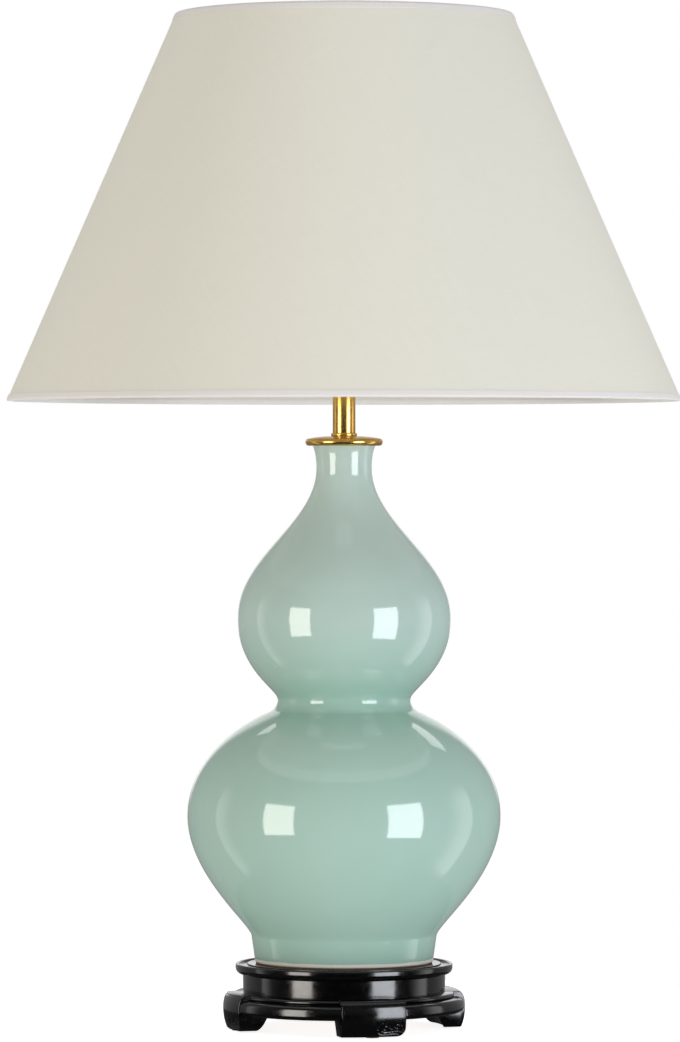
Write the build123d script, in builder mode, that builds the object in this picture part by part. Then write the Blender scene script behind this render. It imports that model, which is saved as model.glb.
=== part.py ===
from build123d import *
from math import cos, hypot, radians, sin, sqrt
import os

# A double gourd table lamp: a lacquered wooden stand, a glazed ceramic body, brass fittings,
# and a tapered fabric shade that rests on a wire carrier. Millimetres, +Z up, ground at z = 0.
# Everything turned is about the Z axis; the four feet point along X and Y.

os.makedirs("parts", exist_ok=True)

# ---------------------------------------------------------------- driving dimensions

# clearances
glue_line = 0.1         # between pieces that are glued or pressed together
running_gap = 0.08      # between a turning or sliding piece and what guides it
loose_gap = 0.4         # between a loose piece and what it drops over

# stand
foot_count = 4
stand_margin = 9.2      # waist of the stand beyond the foot of the body
waist_wall = 10.0
waist_h = 13.5
rim_h = 8.0
rim_overhang = 5.5      # beyond the waist
rim_round_h = 4.4       # rounded underside of the rim
rim_bead_r = 1.4
groove_depth = 1.6      # channel between the bead and the seat of the body
groove_w = 6.0
spigot_h = 3.0          # of the top, let into the waist
apron_h = 14.5
apron_bulge = 14.2      # beyond the waist
apron_belly_down = 9.0  # from the waist down to the apron's widest
apron_tuck = 2.2
apron_shelf_w = 5.5
apron_bead_h = 3.4
apron_bead_w = 1.6
foot_gap_h = 13.0       # from the ground to the underside of the apron
foot_w = 49.0
foot_bulge = 15.0       # beyond the waist
foot_belly_down = 11.5
foot_round = 6.0        # fullness of the shoulder
foot_toe_in = 2.8
foot_crown_h = 1.5      # how far a foot's shoulder rises above the apron
foot_corner_r = 7.0     # lower corner on each foot's right-hand side
foot_back_step = 3.0    # of its back, under the apron
foot_back_slope = 6.0   # from there outwards to the ground

# pads and bottom plate
pad_r = 5.0
pad_t = 2.0
pad_proud = 0.8
plate_t = 3.0
plate_recess = 1.0
plate_wall = 3.0        # of the apron, between the plate and the back of the feet
plate_ledge_w = 7.0
plate_screw_r = 1.5
plate_screw_head_r = 3.0
plate_screw_len = 11.0

# cord inlet
inlet_bore_r = 3.3
inlet_wall = 1.2
inlet_flange_r = 6.2
inlet_flange_t = 1.5
inlet_lip_r = 0.6
inlet_angle = 45.0      # between two feet, at the back

# ceramic body, each height measured from one station of its outline to the next
seat_pad_t = 1.0
seat_pad_inset = 0.6
wall = 6.0
lip_r = 23.7
neck_r = 21.0
upper_r = 80.4
waist_body_r = 50.1
lower_r = 117.6
foot_top_r = 69.5
foot_rim_r = 66.8
foot_h = 19.1
lower_low_h = 90.1
lower_top_h = 88.2
upper_low_h = 60.5
upper_top_h = 113.1
lip_h = 16.5
waist_curve_r = 10.3
waist_turn = 66.2       # degrees turned between the waist and the lower shoulder
foot_rim_w = 9.5
foot_recess = 5.0
floor_t = 7.0
floor_hole_r = 9.0

# how long each curve of that outline holds its first and last direction, as a share of its height
lip_hold = 0.4
upper_top_hold = (0.374, 0.427)
upper_low_hold = (0.628, 0.111)
lower_top_hold = (0.525, 0.336)
lower_low_hold = (0.495, 0.094)

# brass fittings
rod_r = 5.0
rod_bore_r = 3.6
rod_above_tube = 10.0
rod_below_nut = 4.0
washer_r = 16.0
washer_t = 2.0
lock_washer_r = 9.0
lock_washer_t = 1.4
lock_tooth_count = 12
lock_tooth_w = 1.6
nut_flats = 17.0
nut_h = 5.0
end_bush_bore_r = 2.8
end_bush_flange_t = 1.2
end_bush_len = 6.0
plug_depth = 14.0
cap_r = 29.25
cap_h = 7.2
cap_edge_h = 5.6
cap_dome_r = 90.0
collar_h = 2.4
collar_proud = 1.2      # beyond the tube
collar_round = 0.9
tube_r = 8.6
tube_wall = 1.0
tube_len = 43.5

# lampholder
holder_neck_proud = 0.9  # beyond the tube
holder_neck_h = 4.0
holder_dome_h = 18.0
holder_dome_wall = 1.6
holder_rim_h = 4.0
holder_ledge_w = 1.4    # carries the insert
skirt_room = 2.7        # between the screw shell and the skirt
skirt_wall = 2.4
skirt_len = 44.0
skirt_flange_w = 3.5
skirt_flange_t = 2.5
skirt_flange_up = 16.0
insert_h = 15.5
bar_up = 8.0            # switch bar above the bottom of the skirt
bar_r = 2.5
bar_len = 50.0
bar_round = 1.2
bar_travel = 3.0
terminal_r = 1.4
terminal_head_r = 2.4
terminal_head_h = 2.0
terminal_depth = 5.0
terminal_pitch = 18.0
screw_shell_t = 0.5
screw_shell_h = 25.0
contact_t = 0.6
contact_w = 5.0
contact_rise = 2.4
contact_foot = 5.0
contact_ramp = 6.0
contact_top = 3.0
ring_w = 5.5
ring_h = 6.0
ring_grip_count = 24
ring_grip_r = 0.8

# bulb with a 27 mm screw cap
bulb_cap_r = 13.3
bulb_cap_h = 23.0
bulb_cap_wall = 0.5
bulb_insulator_h = 3.0
bulb_insulator_step = 2.3
bulb_tip_r = 4.0
bulb_tip_h = 1.0
bulb_r = 30.0
bulb_len = 109.0
bulb_glass_t = 0.9
bulb_neck_depth = 6.0   # of the glass inside the cap
bulb_neck_h = 3.0
bulb_neck_hold = 17.0
bulb_ball_hold = 24.0
bulb_stem_r = 3.0
bulb_disc_t = 1.0
filament_count = 4
filament_r = 0.8
filament_len = 34.0
filament_pitch_r = 8.0
filament_top_up = 6.0   # above the middle of the ball

# shade carrier
carrier_h = 203.2       # seat on the lampholder to seat of the shade
carrier_washer_w = 11.6
carrier_washer_t = 1.2
carrier_wire_r = 1.6
carrier_arm_count = 3
carrier_arm_flat = 6.0
carrier_arm_rise = 34.0
carrier_bend_r = 12.0
gallery_spigot_r = 50.0
gallery_spigot_h = 5.7
gallery_seat_w = 5.0
gallery_t = 1.5

# shade
shade_bottom_d = 508.0
shade_top_d = 254.0
shade_slant = 317.5
shade_drop = 31.7       # from the top edge down to the fitter's seat
fabric_t = 0.6
liner_t = 0.5
trim_t = 0.5
trim_w = 5.0
frame_wire_r = 1.6
fitter_proud = 2.5      # beyond the gallery
fitter_t = 1.5
shade_arm_count = 3
shade_arm_flat = 8.0
shade_arm_bend_r = 4.0

# ---------------------------------------------------------------- stations up the axis

apron_z = foot_gap_h
waist_z = apron_z + apron_h
rim_z = waist_z + waist_h
seat_z = rim_z + rim_h
body_z = seat_z + seat_pad_t
foot_top_z = body_z + foot_h
lower_z = foot_top_z + lower_low_h
body_waist_z = lower_z + lower_top_h
upper_z = body_waist_z + upper_low_h
neck_z = upper_z + upper_top_h
lip_z = neck_z + lip_h
collar_z = lip_z + cap_h
tube_z = collar_z + collar_h
holder_z = tube_z + tube_len
skirt_z = holder_z + holder_dome_h
insert_top_z = skirt_z + insert_h
carrier_z = skirt_z + skirt_flange_up + skirt_flange_t
ring_z = carrier_z + carrier_washer_t
shade_seat_z = carrier_z + carrier_h
shade_top_z = shade_seat_z + shade_drop
shade_h = sqrt(shade_slant**2 - ((shade_bottom_d - shade_top_d) / 2) ** 2)
shade_bottom_z = shade_top_z - shade_h

# radii that follow from those of the pieces they carry or fit
waist_r = foot_rim_r + stand_margin
stand_bore_r = waist_r - waist_wall
rim_r = waist_r + rim_overhang
apron_r = waist_r + apron_bulge
foot_r = waist_r + foot_bulge
plate_rebate_r = stand_bore_r - plate_wall
ledge_r = plate_rebate_r - plate_ledge_w
plate_screw_pitch_r = (ledge_r + plate_rebate_r) / 2
foot_back_r = stand_bore_r + glue_line + foot_back_step
pad_pitch_r = (foot_back_r + foot_back_slope + foot_r - foot_toe_in) / 2
collar_r = tube_r + collar_proud
holder_neck_r = tube_r + holder_neck_proud
screw_shell_r = bulb_cap_r + running_gap
skirt_bore_r = screw_shell_r + screw_shell_t + skirt_room
skirt_r = skirt_bore_r + skirt_wall
insert_r = skirt_bore_r - glue_line
ring_r = skirt_r + ring_w
gallery_r = gallery_spigot_r + gallery_seat_w
carrier_arm_r = (gallery_spigot_r - gallery_t + gallery_r) / 2
fitter_r = gallery_r + fitter_proud

top_under_z = rim_z - spigot_h
nut_z = top_under_z - washer_t - lock_washer_t - nut_h
rod_bottom_z = nut_z - rod_below_nut
rod_top_z = holder_z + rod_above_tube

foot_dirs = {"right": 0.0, "back": 90.0, "left": 180.0, "front": 270.0}


def along(angle):
    """Unit vector in the ground plane at this angle."""
    return Vector(cos(radians(angle)), sin(radians(angle)), 0)


def radial_plane(angle):
    """Plane through the axis: x runs outwards at this angle, y runs up."""
    return Plane(origin=(0, 0, 0), x_dir=along(angle), z_dir=along(angle - 90))


def facing_plane(angle):
    """Plane across that direction: x runs to the right as seen from outside, y runs up."""
    return Plane(origin=(0, 0, 0), x_dir=along(angle + 90), z_dir=along(angle))


# ---------------------------------------------------------------- stand

# Turned top: a raised bead round the edge, a channel inside it, and a flat seat in the middle.
with BuildPart() as stand_top:
    groove_out = rim_r - 2 * rim_bead_r
    groove_in = groove_out - groove_w
    rod_hole_r = rod_r + glue_line
    with BuildSketch(Plane.XZ):
        with BuildLine():
            under = Polyline(
                (rod_hole_r, top_under_z),
                (stand_bore_r - glue_line, top_under_z),
                (stand_bore_r - glue_line, rim_z),
                (waist_r, rim_z),
            )
            rounded = EllipticalCenterArc(
                (waist_r, rim_z + rim_round_h), rim_overhang, rim_round_h, start_angle=270, arc_size=90
            )
            edge = Line(rounded @ 1, (rim_r, seat_z - rim_bead_r))
            bead = ThreePointArc(
                edge @ 1, (rim_r - rim_bead_r, seat_z), (groove_out, seat_z - rim_bead_r)
            )
            Polyline(
                bead @ 1,
                (groove_out, seat_z - groove_depth),
                (groove_in, seat_z - groove_depth),
                (groove_in, seat_z),
                (rod_hole_r, seat_z),
                (rod_hole_r, top_under_z),
            )
        make_face()
    revolve(axis=Axis.Z)
stand_top.part.label = "stand_top"

# Turned waist band with the hole for the cord's bush.
inlet_z = waist_z + waist_h / 2
inlet_plane = Plane(
    origin=along(inlet_angle) * stand_bore_r + Vector(0, 0, inlet_z),
    x_dir=along(inlet_angle + 90),
    z_dir=along(inlet_angle),
)
inlet_barrel_r = inlet_bore_r + inlet_wall
inlet_barrel_len = waist_wall + glue_line
with BuildPart() as stand_waist:
    with BuildSketch(Plane.XY.offset(waist_z)):
        Circle(waist_r)
        Circle(stand_bore_r, mode=Mode.SUBTRACT)
    extrude(amount=waist_h)
    with BuildSketch(inlet_plane.offset(-waist_wall)):
        Circle(inlet_barrel_r + glue_line)
    extrude(amount=3 * waist_wall, mode=Mode.SUBTRACT)
stand_waist.part.label = "stand_waist"

# Apron: a bead under the waist, then a full bulge. The feet are let into it.
plate_z = apron_z + plate_recess
plate_top_z = plate_z + plate_t
with BuildPart() as stand_apron:
    with BuildSketch(Plane.XZ):
        with BuildLine():
            top = Polyline((ledge_r, plate_top_z), (ledge_r, waist_z), (waist_r + apron_shelf_w, waist_z))
            bead_z = waist_z - apron_bead_h
            bead_in_r = waist_r + apron_shelf_w + apron_bead_w / 2
            bead = ThreePointArc(
                top @ 1,
                (bead_in_r + apron_bead_w / 2, (waist_z + bead_z) / 2),
                (bead_in_r, bead_z),
            )
            belly_z = waist_z - apron_belly_down
            bulge = Bezier(
                bead @ 1,
                ((bead_in_r + apron_r) / 2, bead_z),
                (apron_r, (bead_z + belly_z) / 2),
                (apron_r, belly_z),
            )
            tuck = Bezier(bulge @ 1, (apron_r, (belly_z + apron_z) / 2), (apron_r - apron_tuck, apron_z))
            Polyline(
                tuck @ 1,
                (plate_rebate_r, apron_z),
                (plate_rebate_r, plate_top_z),
                (ledge_r, plate_top_z),
            )
        make_face()
    revolve(axis=Axis.Z)
    with BuildSketch(Plane.XY.offset(apron_z)):
        with PolarLocations(foot_r, foot_count):
            Rectangle(2 * (foot_r - ledge_r), foot_w + 2 * glue_line)
        Circle(stand_bore_r, mode=Mode.SUBTRACT)
    extrude(amount=apron_h, mode=Mode.SUBTRACT)
    with BuildSketch(Plane.XY.offset(plate_top_z)):
        with PolarLocations(plate_screw_pitch_r, foot_count, start_angle=45):
            Circle(plate_screw_r + glue_line)
    extrude(amount=plate_screw_len - plate_t + glue_line, mode=Mode.SUBTRACT)
stand_apron.part.label = "stand_apron"

# Feet: each follows one turned section and is cut to its face outline, straight on its left
# and rounded at the lower right, with a low crowned shoulder against the waist.
feet = []
pads = []
for side, angle in foot_dirs.items():
    with BuildPart() as foot:
        with BuildSketch(radial_plane(angle)):
            with BuildLine():
                back = Polyline(
                    (foot_back_r + foot_back_slope, pad_proud),
                    (foot_back_r, apron_z),
                    (stand_bore_r + glue_line, apron_z),
                    (stand_bore_r + glue_line, waist_z),
                    (waist_r + glue_line, waist_z),
                    (waist_r + glue_line, waist_z + foot_crown_h),
                    (waist_r + apron_shelf_w, waist_z + foot_crown_h),
                )
                foot_belly_z = waist_z - foot_belly_down
                shoulder = Bezier(
                    back @ 1,
                    (waist_r + apron_shelf_w + foot_round, waist_z + foot_crown_h),
                    (foot_r, foot_belly_z + foot_round),
                    (foot_r, foot_belly_z),
                )
                shin = Bezier(
                    shoulder @ 1,
                    (foot_r, (foot_belly_z + pad_proud) / 2),
                    (foot_r - foot_toe_in, pad_proud),
                )
                Line(shin @ 1, back @ 0)
            make_face()
        revolve(axis=Axis.Z)
        with BuildSketch(facing_plane(angle)):
            with BuildLine():
                half = foot_w / 2
                left = Polyline((-half, waist_z), (-half, pad_proud), (half - foot_corner_r, pad_proud))
                corner = RadiusArc(left @ 1, (half, pad_proud + foot_corner_r), -foot_corner_r)
                right = Line(corner @ 1, (half, waist_z))
                ThreePointArc(right @ 1, (0, waist_z + foot_crown_h), (-half, waist_z))
            make_face()
        extrude(amount=foot_r + 1, mode=Mode.INTERSECT)
        with BuildSketch(Plane(origin=along(angle) * pad_pitch_r + Vector(0, 0, pad_proud))):
            Circle(pad_r + glue_line)
        extrude(amount=pad_t - pad_proud, mode=Mode.SUBTRACT)
    foot.part.label = f"foot_{side}"
    feet.append(foot)

    with BuildPart() as pad:
        with BuildSketch(Plane(origin=along(angle) * pad_pitch_r)):
            Circle(pad_r)
        extrude(amount=pad_t)
    pad.part.label = f"foot_pad_{side}"
    pads.append(pad)

# Bottom plate, held by countersunk wood screws.
with BuildPart() as bottom_plate:
    with BuildSketch(Plane.XY.offset(plate_z)):
        Circle(plate_rebate_r - glue_line)
    extrude(amount=plate_t)
    with Locations(Plane.XY.offset(plate_z)):
        with PolarLocations(plate_screw_pitch_r, foot_count, start_angle=45):
            Cylinder(
                plate_screw_r + 2 * glue_line,
                plate_t,
                align=(Align.CENTER, Align.CENTER, Align.MIN),
                mode=Mode.SUBTRACT,
            )
            Cone(
                plate_screw_head_r + glue_line,
                plate_screw_r + glue_line,
                plate_screw_head_r - plate_screw_r,
                align=(Align.CENTER, Align.CENTER, Align.MIN),
                mode=Mode.SUBTRACT,
            )
bottom_plate.part.label = "bottom_plate"

with BuildPart() as bottom_plate_screws:
    with Locations(Plane.XY.offset(plate_z)):
        with PolarLocations(plate_screw_pitch_r, foot_count, start_angle=45):
            Cylinder(plate_screw_r, plate_screw_len, align=(Align.CENTER, Align.CENTER, Align.MIN))
            Cone(
                plate_screw_head_r,
                plate_screw_r,
                plate_screw_head_r - plate_screw_r,
                align=(Align.CENTER, Align.CENTER, Align.MIN),
            )
bottom_plate_screws.part.label = "bottom_plate_screws"

# Bush for the cord, pushed into the waist from outside.
with BuildPart() as cord_inlet_bush:
    with BuildSketch(inlet_plane):
        Circle(inlet_barrel_r)
    extrude(amount=inlet_barrel_len)
    with BuildSketch(inlet_plane.offset(inlet_barrel_len)):
        Circle(inlet_flange_r)
    extrude(amount=inlet_flange_t)
    fillet(
        cord_inlet_bush.faces().sort_by(Axis((0, 0, 0), along(inlet_angle)))[-1].edges(), inlet_lip_r
    )
    with BuildSketch(inlet_plane):
        Circle(inlet_bore_r)
    extrude(amount=inlet_barrel_len + inlet_flange_t, mode=Mode.SUBTRACT)
cord_inlet_bush.part.label = "cord_inlet_bush"

# ---------------------------------------------------------------- ceramic body

# Thin pad under the body's foot.
with BuildPart() as seat_pad:
    with BuildSketch(Plane.XY.offset(seat_z)):
        Circle(foot_rim_r - seat_pad_inset)
        Circle(foot_rim_r - foot_rim_w, mode=Mode.SUBTRACT)
    extrude(amount=seat_pad_t)
seat_pad.part.label = "seat_pad"


def gourd_side(inset, low_z):
    """Side of the double gourd from its lip down to low_z, moved in by inset.

    Each curve's holds shrink with the belly that it belongs to.
    """
    neck = neck_r - inset
    upper = upper_r - inset
    waist = waist_body_r - inset
    lower = lower_r - inset
    foot_top = foot_top_r - inset
    upper_low_hold_h = upper_low_h * upper / upper_r
    lower_share = lower / lower_r
    lip = Bezier(
        (lip_r - inset, lip_z),
        (neck, lip_z - lip_h * lip_hold),
        (neck, neck_z),
    )
    upper_top = Bezier(
        lip @ 1,
        (neck, neck_z - upper_top_h * upper_top_hold[0]),
        (upper, upper_z + upper_top_h * upper_top_hold[1] * upper / upper_r),
        (upper, upper_z),
    )
    upper_low = Bezier(
        upper_top @ 1,
        (upper, upper_z - upper_low_hold_h * upper_low_hold[0]),
        (waist, body_waist_z + upper_low_hold_h * upper_low_hold[1]),
        (waist, body_waist_z),
    )
    turn = JernArc(upper_low @ 1, (0, -1), waist_curve_r + inset, waist_turn)
    lower_top = Bezier(
        turn @ 1,
        turn @ 1 + (turn % 1) * lower_top_h * lower_top_hold[0] * lower_share,
        (lower, lower_z + lower_top_h * lower_top_hold[1] * lower_share),
        (lower, lower_z),
    )
    lower_low = Bezier(
        lower_top @ 1,
        (lower, lower_z - lower_low_h * lower_low_hold[0] * lower_share),
        (foot_top, foot_top_z + lower_low_h * lower_low_hold[1]),
        (foot_top, foot_top_z),
    )
    Line(lower_low @ 1, (foot_rim_r - inset, low_z))


with BuildPart() as gourd_body:
    with BuildSketch(Plane.XZ):
        with BuildLine():
            gourd_side(0, body_z)
            Polyline((foot_rim_r, body_z), (0, body_z), (0, lip_z), (lip_r, lip_z))
        make_face()
    revolve(axis=Axis.Z)
    floor_z = body_z + foot_recess + floor_t
    with BuildSketch(Plane.XZ):
        with BuildLine():
            gourd_side(wall, floor_z)
            Polyline((foot_rim_r - wall, floor_z), (0, floor_z), (0, lip_z), (lip_r - wall, lip_z))
        make_face()
    revolve(axis=Axis.Z, mode=Mode.SUBTRACT)
    with BuildSketch(Plane.XY.offset(body_z)):
        Circle(foot_rim_r - foot_rim_w)
    extrude(amount=foot_recess, mode=Mode.SUBTRACT)
    with BuildSketch(Plane.XY.offset(body_z)):
        Circle(floor_hole_r)
    extrude(amount=foot_recess + floor_t, mode=Mode.SUBTRACT)
gourd_body.part.label = "gourd_body"

# ---------------------------------------------------------------- rod and brass fittings

# Threaded tube through the whole lamp, with the nut and washers that pull it together.
with BuildPart() as threaded_rod:
    with BuildSketch(Plane.XY.offset(rod_bottom_z)):
        Circle(rod_r)
        Circle(rod_bore_r, mode=Mode.SUBTRACT)
    extrude(amount=rod_top_z - rod_bottom_z)
threaded_rod.part.label = "threaded_rod"

with BuildPart() as rod_washer:
    with BuildSketch(Plane.XY.offset(top_under_z - washer_t)):
        Circle(washer_r)
        Circle(rod_r + glue_line, mode=Mode.SUBTRACT)
    extrude(amount=washer_t)
rod_washer.part.label = "rod_washer"

with BuildPart() as rod_lock_washer:
    with BuildSketch(Plane.XY.offset(nut_z + nut_h)):
        Circle(lock_washer_r)
        Circle(rod_r + glue_line, mode=Mode.SUBTRACT)
        with PolarLocations(lock_washer_r, lock_tooth_count):
            Rectangle(lock_tooth_w, lock_tooth_w, rotation=45, mode=Mode.SUBTRACT)
    extrude(amount=lock_washer_t)
rod_lock_washer.part.label = "rod_lock_washer"

with BuildPart() as rod_nut:
    with BuildSketch(Plane.XY.offset(nut_z)):
        RegularPolygon(nut_flats / 2, 6, major_radius=False)
        Circle(rod_r + running_gap, mode=Mode.SUBTRACT)
    extrude(amount=nut_h)
rod_nut.part.label = "rod_nut"

# Plastic bush that keeps the rod's lower end from cutting the flex.
with BuildPart() as rod_end_bush:
    with BuildSketch(Plane.XY.offset(rod_bottom_z - end_bush_flange_t)):
        Circle(rod_r)
    extrude(amount=end_bush_flange_t)
    with BuildSketch(Plane.XY.offset(rod_bottom_z)):
        Circle(rod_bore_r - glue_line)
    extrude(amount=end_bush_len)
    with BuildSketch(Plane.XY.offset(rod_bottom_z - end_bush_flange_t)):
        Circle(end_bush_bore_r)
    extrude(amount=end_bush_flange_t + end_bush_len, mode=Mode.SUBTRACT)
rod_end_bush.part.label = "rod_end_bush"

# Wooden plug that centres the rod in the mouth of the body.
with BuildPart() as neck_plug:
    with BuildSketch(Plane.XY.offset(lip_z - plug_depth)):
        Circle(neck_r - wall - glue_line)
        Circle(rod_r + glue_line, mode=Mode.SUBTRACT)
    extrude(amount=plug_depth)
neck_plug.part.label = "neck_plug"

# Cap over the mouth: rounded edge, faintly domed top.
with BuildPart() as brass_cap:
    edge_z = lip_z + cap_edge_h / 2
    nose = cap_edge_h / 2
    with BuildSketch(Plane.XZ):
        with BuildLine():
            base = Line((rod_hole_r, lip_z), (cap_r - nose, lip_z))
            edge = ThreePointArc(base @ 1, (cap_r, edge_z), (cap_r - nose, lip_z + cap_edge_h))
            dome = RadiusArc(edge @ 1, (collar_r + collar_proud, collar_z), -cap_dome_r)
            Polyline(dome @ 1, (rod_hole_r, collar_z), (rod_hole_r, lip_z))
        make_face()
    revolve(axis=Axis.Z)
brass_cap.part.label = "brass_cap"

with BuildPart() as brass_collar:
    with BuildSketch(Plane.XY.offset(collar_z)):
        Circle(collar_r)
        Circle(rod_r + glue_line, mode=Mode.SUBTRACT)
    extrude(amount=collar_h)
    fillet(brass_collar.edges().filter_by(GeomType.CIRCLE).group_by(SortBy.RADIUS)[-1], collar_round)
brass_collar.part.label = "brass_collar"

with BuildPart() as brass_tube:
    with BuildSketch(Plane.XY.offset(tube_z)):
        Circle(tube_r)
        Circle(tube_r - tube_wall, mode=Mode.SUBTRACT)
    extrude(amount=tube_len)
brass_tube.part.label = "brass_tube"

# ---------------------------------------------------------------- lampholder

# Domed cap that screws on the rod and clamps the tube.
with BuildPart() as holder_dome:
    with BuildSketch(Plane.XZ):
        with BuildLine():
            dome_low_z = holder_z + holder_neck_h
            dome_rim_z = skirt_z - holder_rim_h
            dome_rise = dome_rim_z - dome_low_z
            dome_bore_r = insert_r - holder_ledge_w
            hole_r = rod_r + running_gap
            neck = Polyline((hole_r, holder_z), (holder_neck_r, holder_z), (holder_neck_r, dome_low_z))
            EllipticalCenterArc(
                (holder_neck_r, dome_rim_z), skirt_r - holder_neck_r, dome_rise, start_angle=270, arc_size=90
            )
            Polyline((skirt_r, dome_rim_z), (skirt_r, skirt_z), (dome_bore_r, skirt_z), (dome_bore_r, dome_rim_z))
            EllipticalCenterArc(
                (hole_r, dome_rim_z),
                dome_bore_r - hole_r,
                dome_rise - holder_dome_wall,
                start_angle=270,
                arc_size=90,
            )
            Line((hole_r, dome_low_z + holder_dome_wall), neck @ 0)
        make_face()
    revolve(axis=Axis.Z)
holder_dome.part.label = "holder_dome"

# Skirt with the flange that the carrier is clamped against; the switch bar crosses it.
bar_z = skirt_z + bar_up
with BuildPart() as holder_skirt:
    with BuildSketch(Plane.XY.offset(skirt_z)):
        Circle(skirt_r)
    extrude(amount=skirt_len)
    with BuildSketch(Plane.XY.offset(skirt_z + skirt_flange_up)):
        Circle(skirt_r + skirt_flange_w)
    extrude(amount=skirt_flange_t)
    with BuildSketch(Plane.XY.offset(skirt_z)):
        Circle(skirt_bore_r)
    extrude(amount=skirt_len, mode=Mode.SUBTRACT)
    with BuildSketch(Plane.YZ.offset(-skirt_r - 1)):
        with Locations((0, bar_z)):
            Circle(bar_r + 2 * glue_line)
    extrude(amount=2 * skirt_r + 2, mode=Mode.SUBTRACT)
holder_skirt.part.label = "holder_skirt"

# Insulating insert, bored for the switch bar and for the terminal screws.
with BuildPart() as holder_insert:
    with BuildSketch(Plane.XY.offset(skirt_z)):
        Circle(insert_r)
    extrude(amount=insert_h)
    with BuildSketch(Plane.YZ.offset(-insert_r - 1)):
        with Locations((0, bar_z)):
            Circle(bar_r + running_gap)
    extrude(amount=2 * insert_r + 2, mode=Mode.SUBTRACT)
    with BuildSketch(Plane.XY.offset(skirt_z)):
        with GridLocations(1, terminal_pitch, 1, 2):
            Circle(terminal_r + glue_line)
    extrude(amount=terminal_depth, mode=Mode.SUBTRACT)
holder_insert.part.label = "holder_insert"

with BuildPart() as holder_terminal_screws:
    with BuildSketch(Plane.XY.offset(skirt_z - terminal_head_h)):
        with GridLocations(1, terminal_pitch, 1, 2):
            Circle(terminal_head_r)
    extrude(amount=terminal_head_h)
    with BuildSketch(Plane.XY.offset(skirt_z)):
        with GridLocations(1, terminal_pitch, 1, 2):
            Circle(terminal_r)
    extrude(amount=terminal_depth - glue_line)
holder_terminal_screws.part.label = "holder_terminal_screws"

# Springy centre contact: a strip that lies on the insert and rises in the middle.
with BuildPart() as holder_contact:
    with BuildSketch(Plane.XZ):
        with BuildLine():
            mid_z = insert_top_z + contact_t / 2
            Polyline(
                (-contact_foot - contact_ramp / 2, mid_z),
                (-contact_ramp / 2, mid_z),
                (contact_ramp / 2, mid_z + contact_rise),
                (contact_ramp / 2 + contact_top, mid_z + contact_rise),
            )
        trace(line_width=contact_t)
    extrude(amount=contact_w / 2, both=True)
holder_contact.part.label = "holder_contact"

with BuildPart() as holder_screw_shell:
    with BuildSketch(Plane.XY.offset(insert_top_z)):
        Circle(screw_shell_r + screw_shell_t)
        Circle(screw_shell_r, mode=Mode.SUBTRACT)
    extrude(amount=screw_shell_h)
holder_screw_shell.part.label = "holder_screw_shell"

# Push-through switch bar, drawn at the end of its travel towards -X.
with BuildPart() as switch_bar:
    with BuildSketch(Plane.YZ.offset(-(bar_len + bar_travel) / 2)):
        with Locations((0, bar_z)):
            Circle(bar_r)
    extrude(amount=bar_len)
    fillet(switch_bar.edges().filter_by(GeomType.CIRCLE), bar_round)
switch_bar.part.label = "switch_bar"

# Threaded ring with a scalloped grip that clamps the carrier.
with BuildPart() as carrier_clamp_ring:
    with BuildSketch(Plane.XY.offset(ring_z)):
        Circle(ring_r)
        Circle(skirt_r + running_gap, mode=Mode.SUBTRACT)
        with PolarLocations(ring_r, ring_grip_count):
            Circle(ring_grip_r, mode=Mode.SUBTRACT)
    extrude(amount=ring_h)
carrier_clamp_ring.part.label = "carrier_clamp_ring"

# ---------------------------------------------------------------- bulb

bulb_z = insert_top_z + contact_rise + contact_t + 3 * glue_line
bulb_insulator_z = bulb_z + bulb_tip_h
bulb_cap_z = bulb_insulator_z + bulb_insulator_h
bulb_cap_top_z = bulb_cap_z + bulb_cap_h
bulb_mid_z = bulb_z + bulb_len - bulb_r

with BuildPart() as bulb_contact:
    with BuildSketch(Plane.XY.offset(bulb_z)):
        Circle(bulb_tip_r)
    extrude(amount=bulb_tip_h)
    fillet(bulb_contact.faces().sort_by(Axis.Z)[0].edges(), bulb_tip_h / 2)
bulb_contact.part.label = "bulb_contact"

with BuildPart() as bulb_insulator:
    with BuildSketch(Plane.XY.offset(bulb_insulator_z)):
        Circle(bulb_tip_r + bulb_tip_h)
    with BuildSketch(Plane.XY.offset(bulb_cap_z)):
        Circle(bulb_cap_r - bulb_insulator_step)
    loft()
bulb_insulator.part.label = "bulb_insulator"

with BuildPart() as bulb_screw_cap:
    with BuildSketch(Plane.XY.offset(bulb_cap_z)):
        Circle(bulb_cap_r)
    extrude(amount=bulb_cap_h)
    with BuildSketch(Plane.XY.offset(bulb_cap_z + bulb_cap_wall)):
        Circle(bulb_cap_r - bulb_cap_wall)
    extrude(amount=bulb_cap_h - bulb_cap_wall, mode=Mode.SUBTRACT)
bulb_screw_cap.part.label = "bulb_screw_cap"


def bulb_outline(inset):
    """Envelope from its neck inside the cap to its crown, closed along the axis."""
    low_z = bulb_cap_top_z - bulb_neck_depth
    neck_top_z = bulb_cap_top_z + bulb_neck_h
    neck = bulb_cap_r - bulb_cap_wall - 2 * glue_line - inset
    ball = bulb_r - inset
    side = Polyline((0, low_z), (neck, low_z), (neck, neck_top_z))
    shoulder = Bezier(
        side @ 1,
        (neck, neck_top_z + bulb_neck_hold),
        (ball, bulb_mid_z - bulb_ball_hold),
        (ball, bulb_mid_z),
    )
    crown = RadiusArc(shoulder @ 1, (0, bulb_mid_z + ball), -ball)
    Line(crown @ 1, (0, low_z))


with BuildPart() as bulb_glass:
    with BuildSketch(Plane.XZ):
        with BuildLine():
            bulb_outline(0)
        make_face()
    revolve(axis=Axis.Z)
    with BuildSketch(Plane.XZ):
        with BuildLine():
            bulb_outline(bulb_glass_t)
        make_face()
    revolve(axis=Axis.Z, mode=Mode.SUBTRACT)
bulb_glass.part.label = "bulb_glass"

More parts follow.
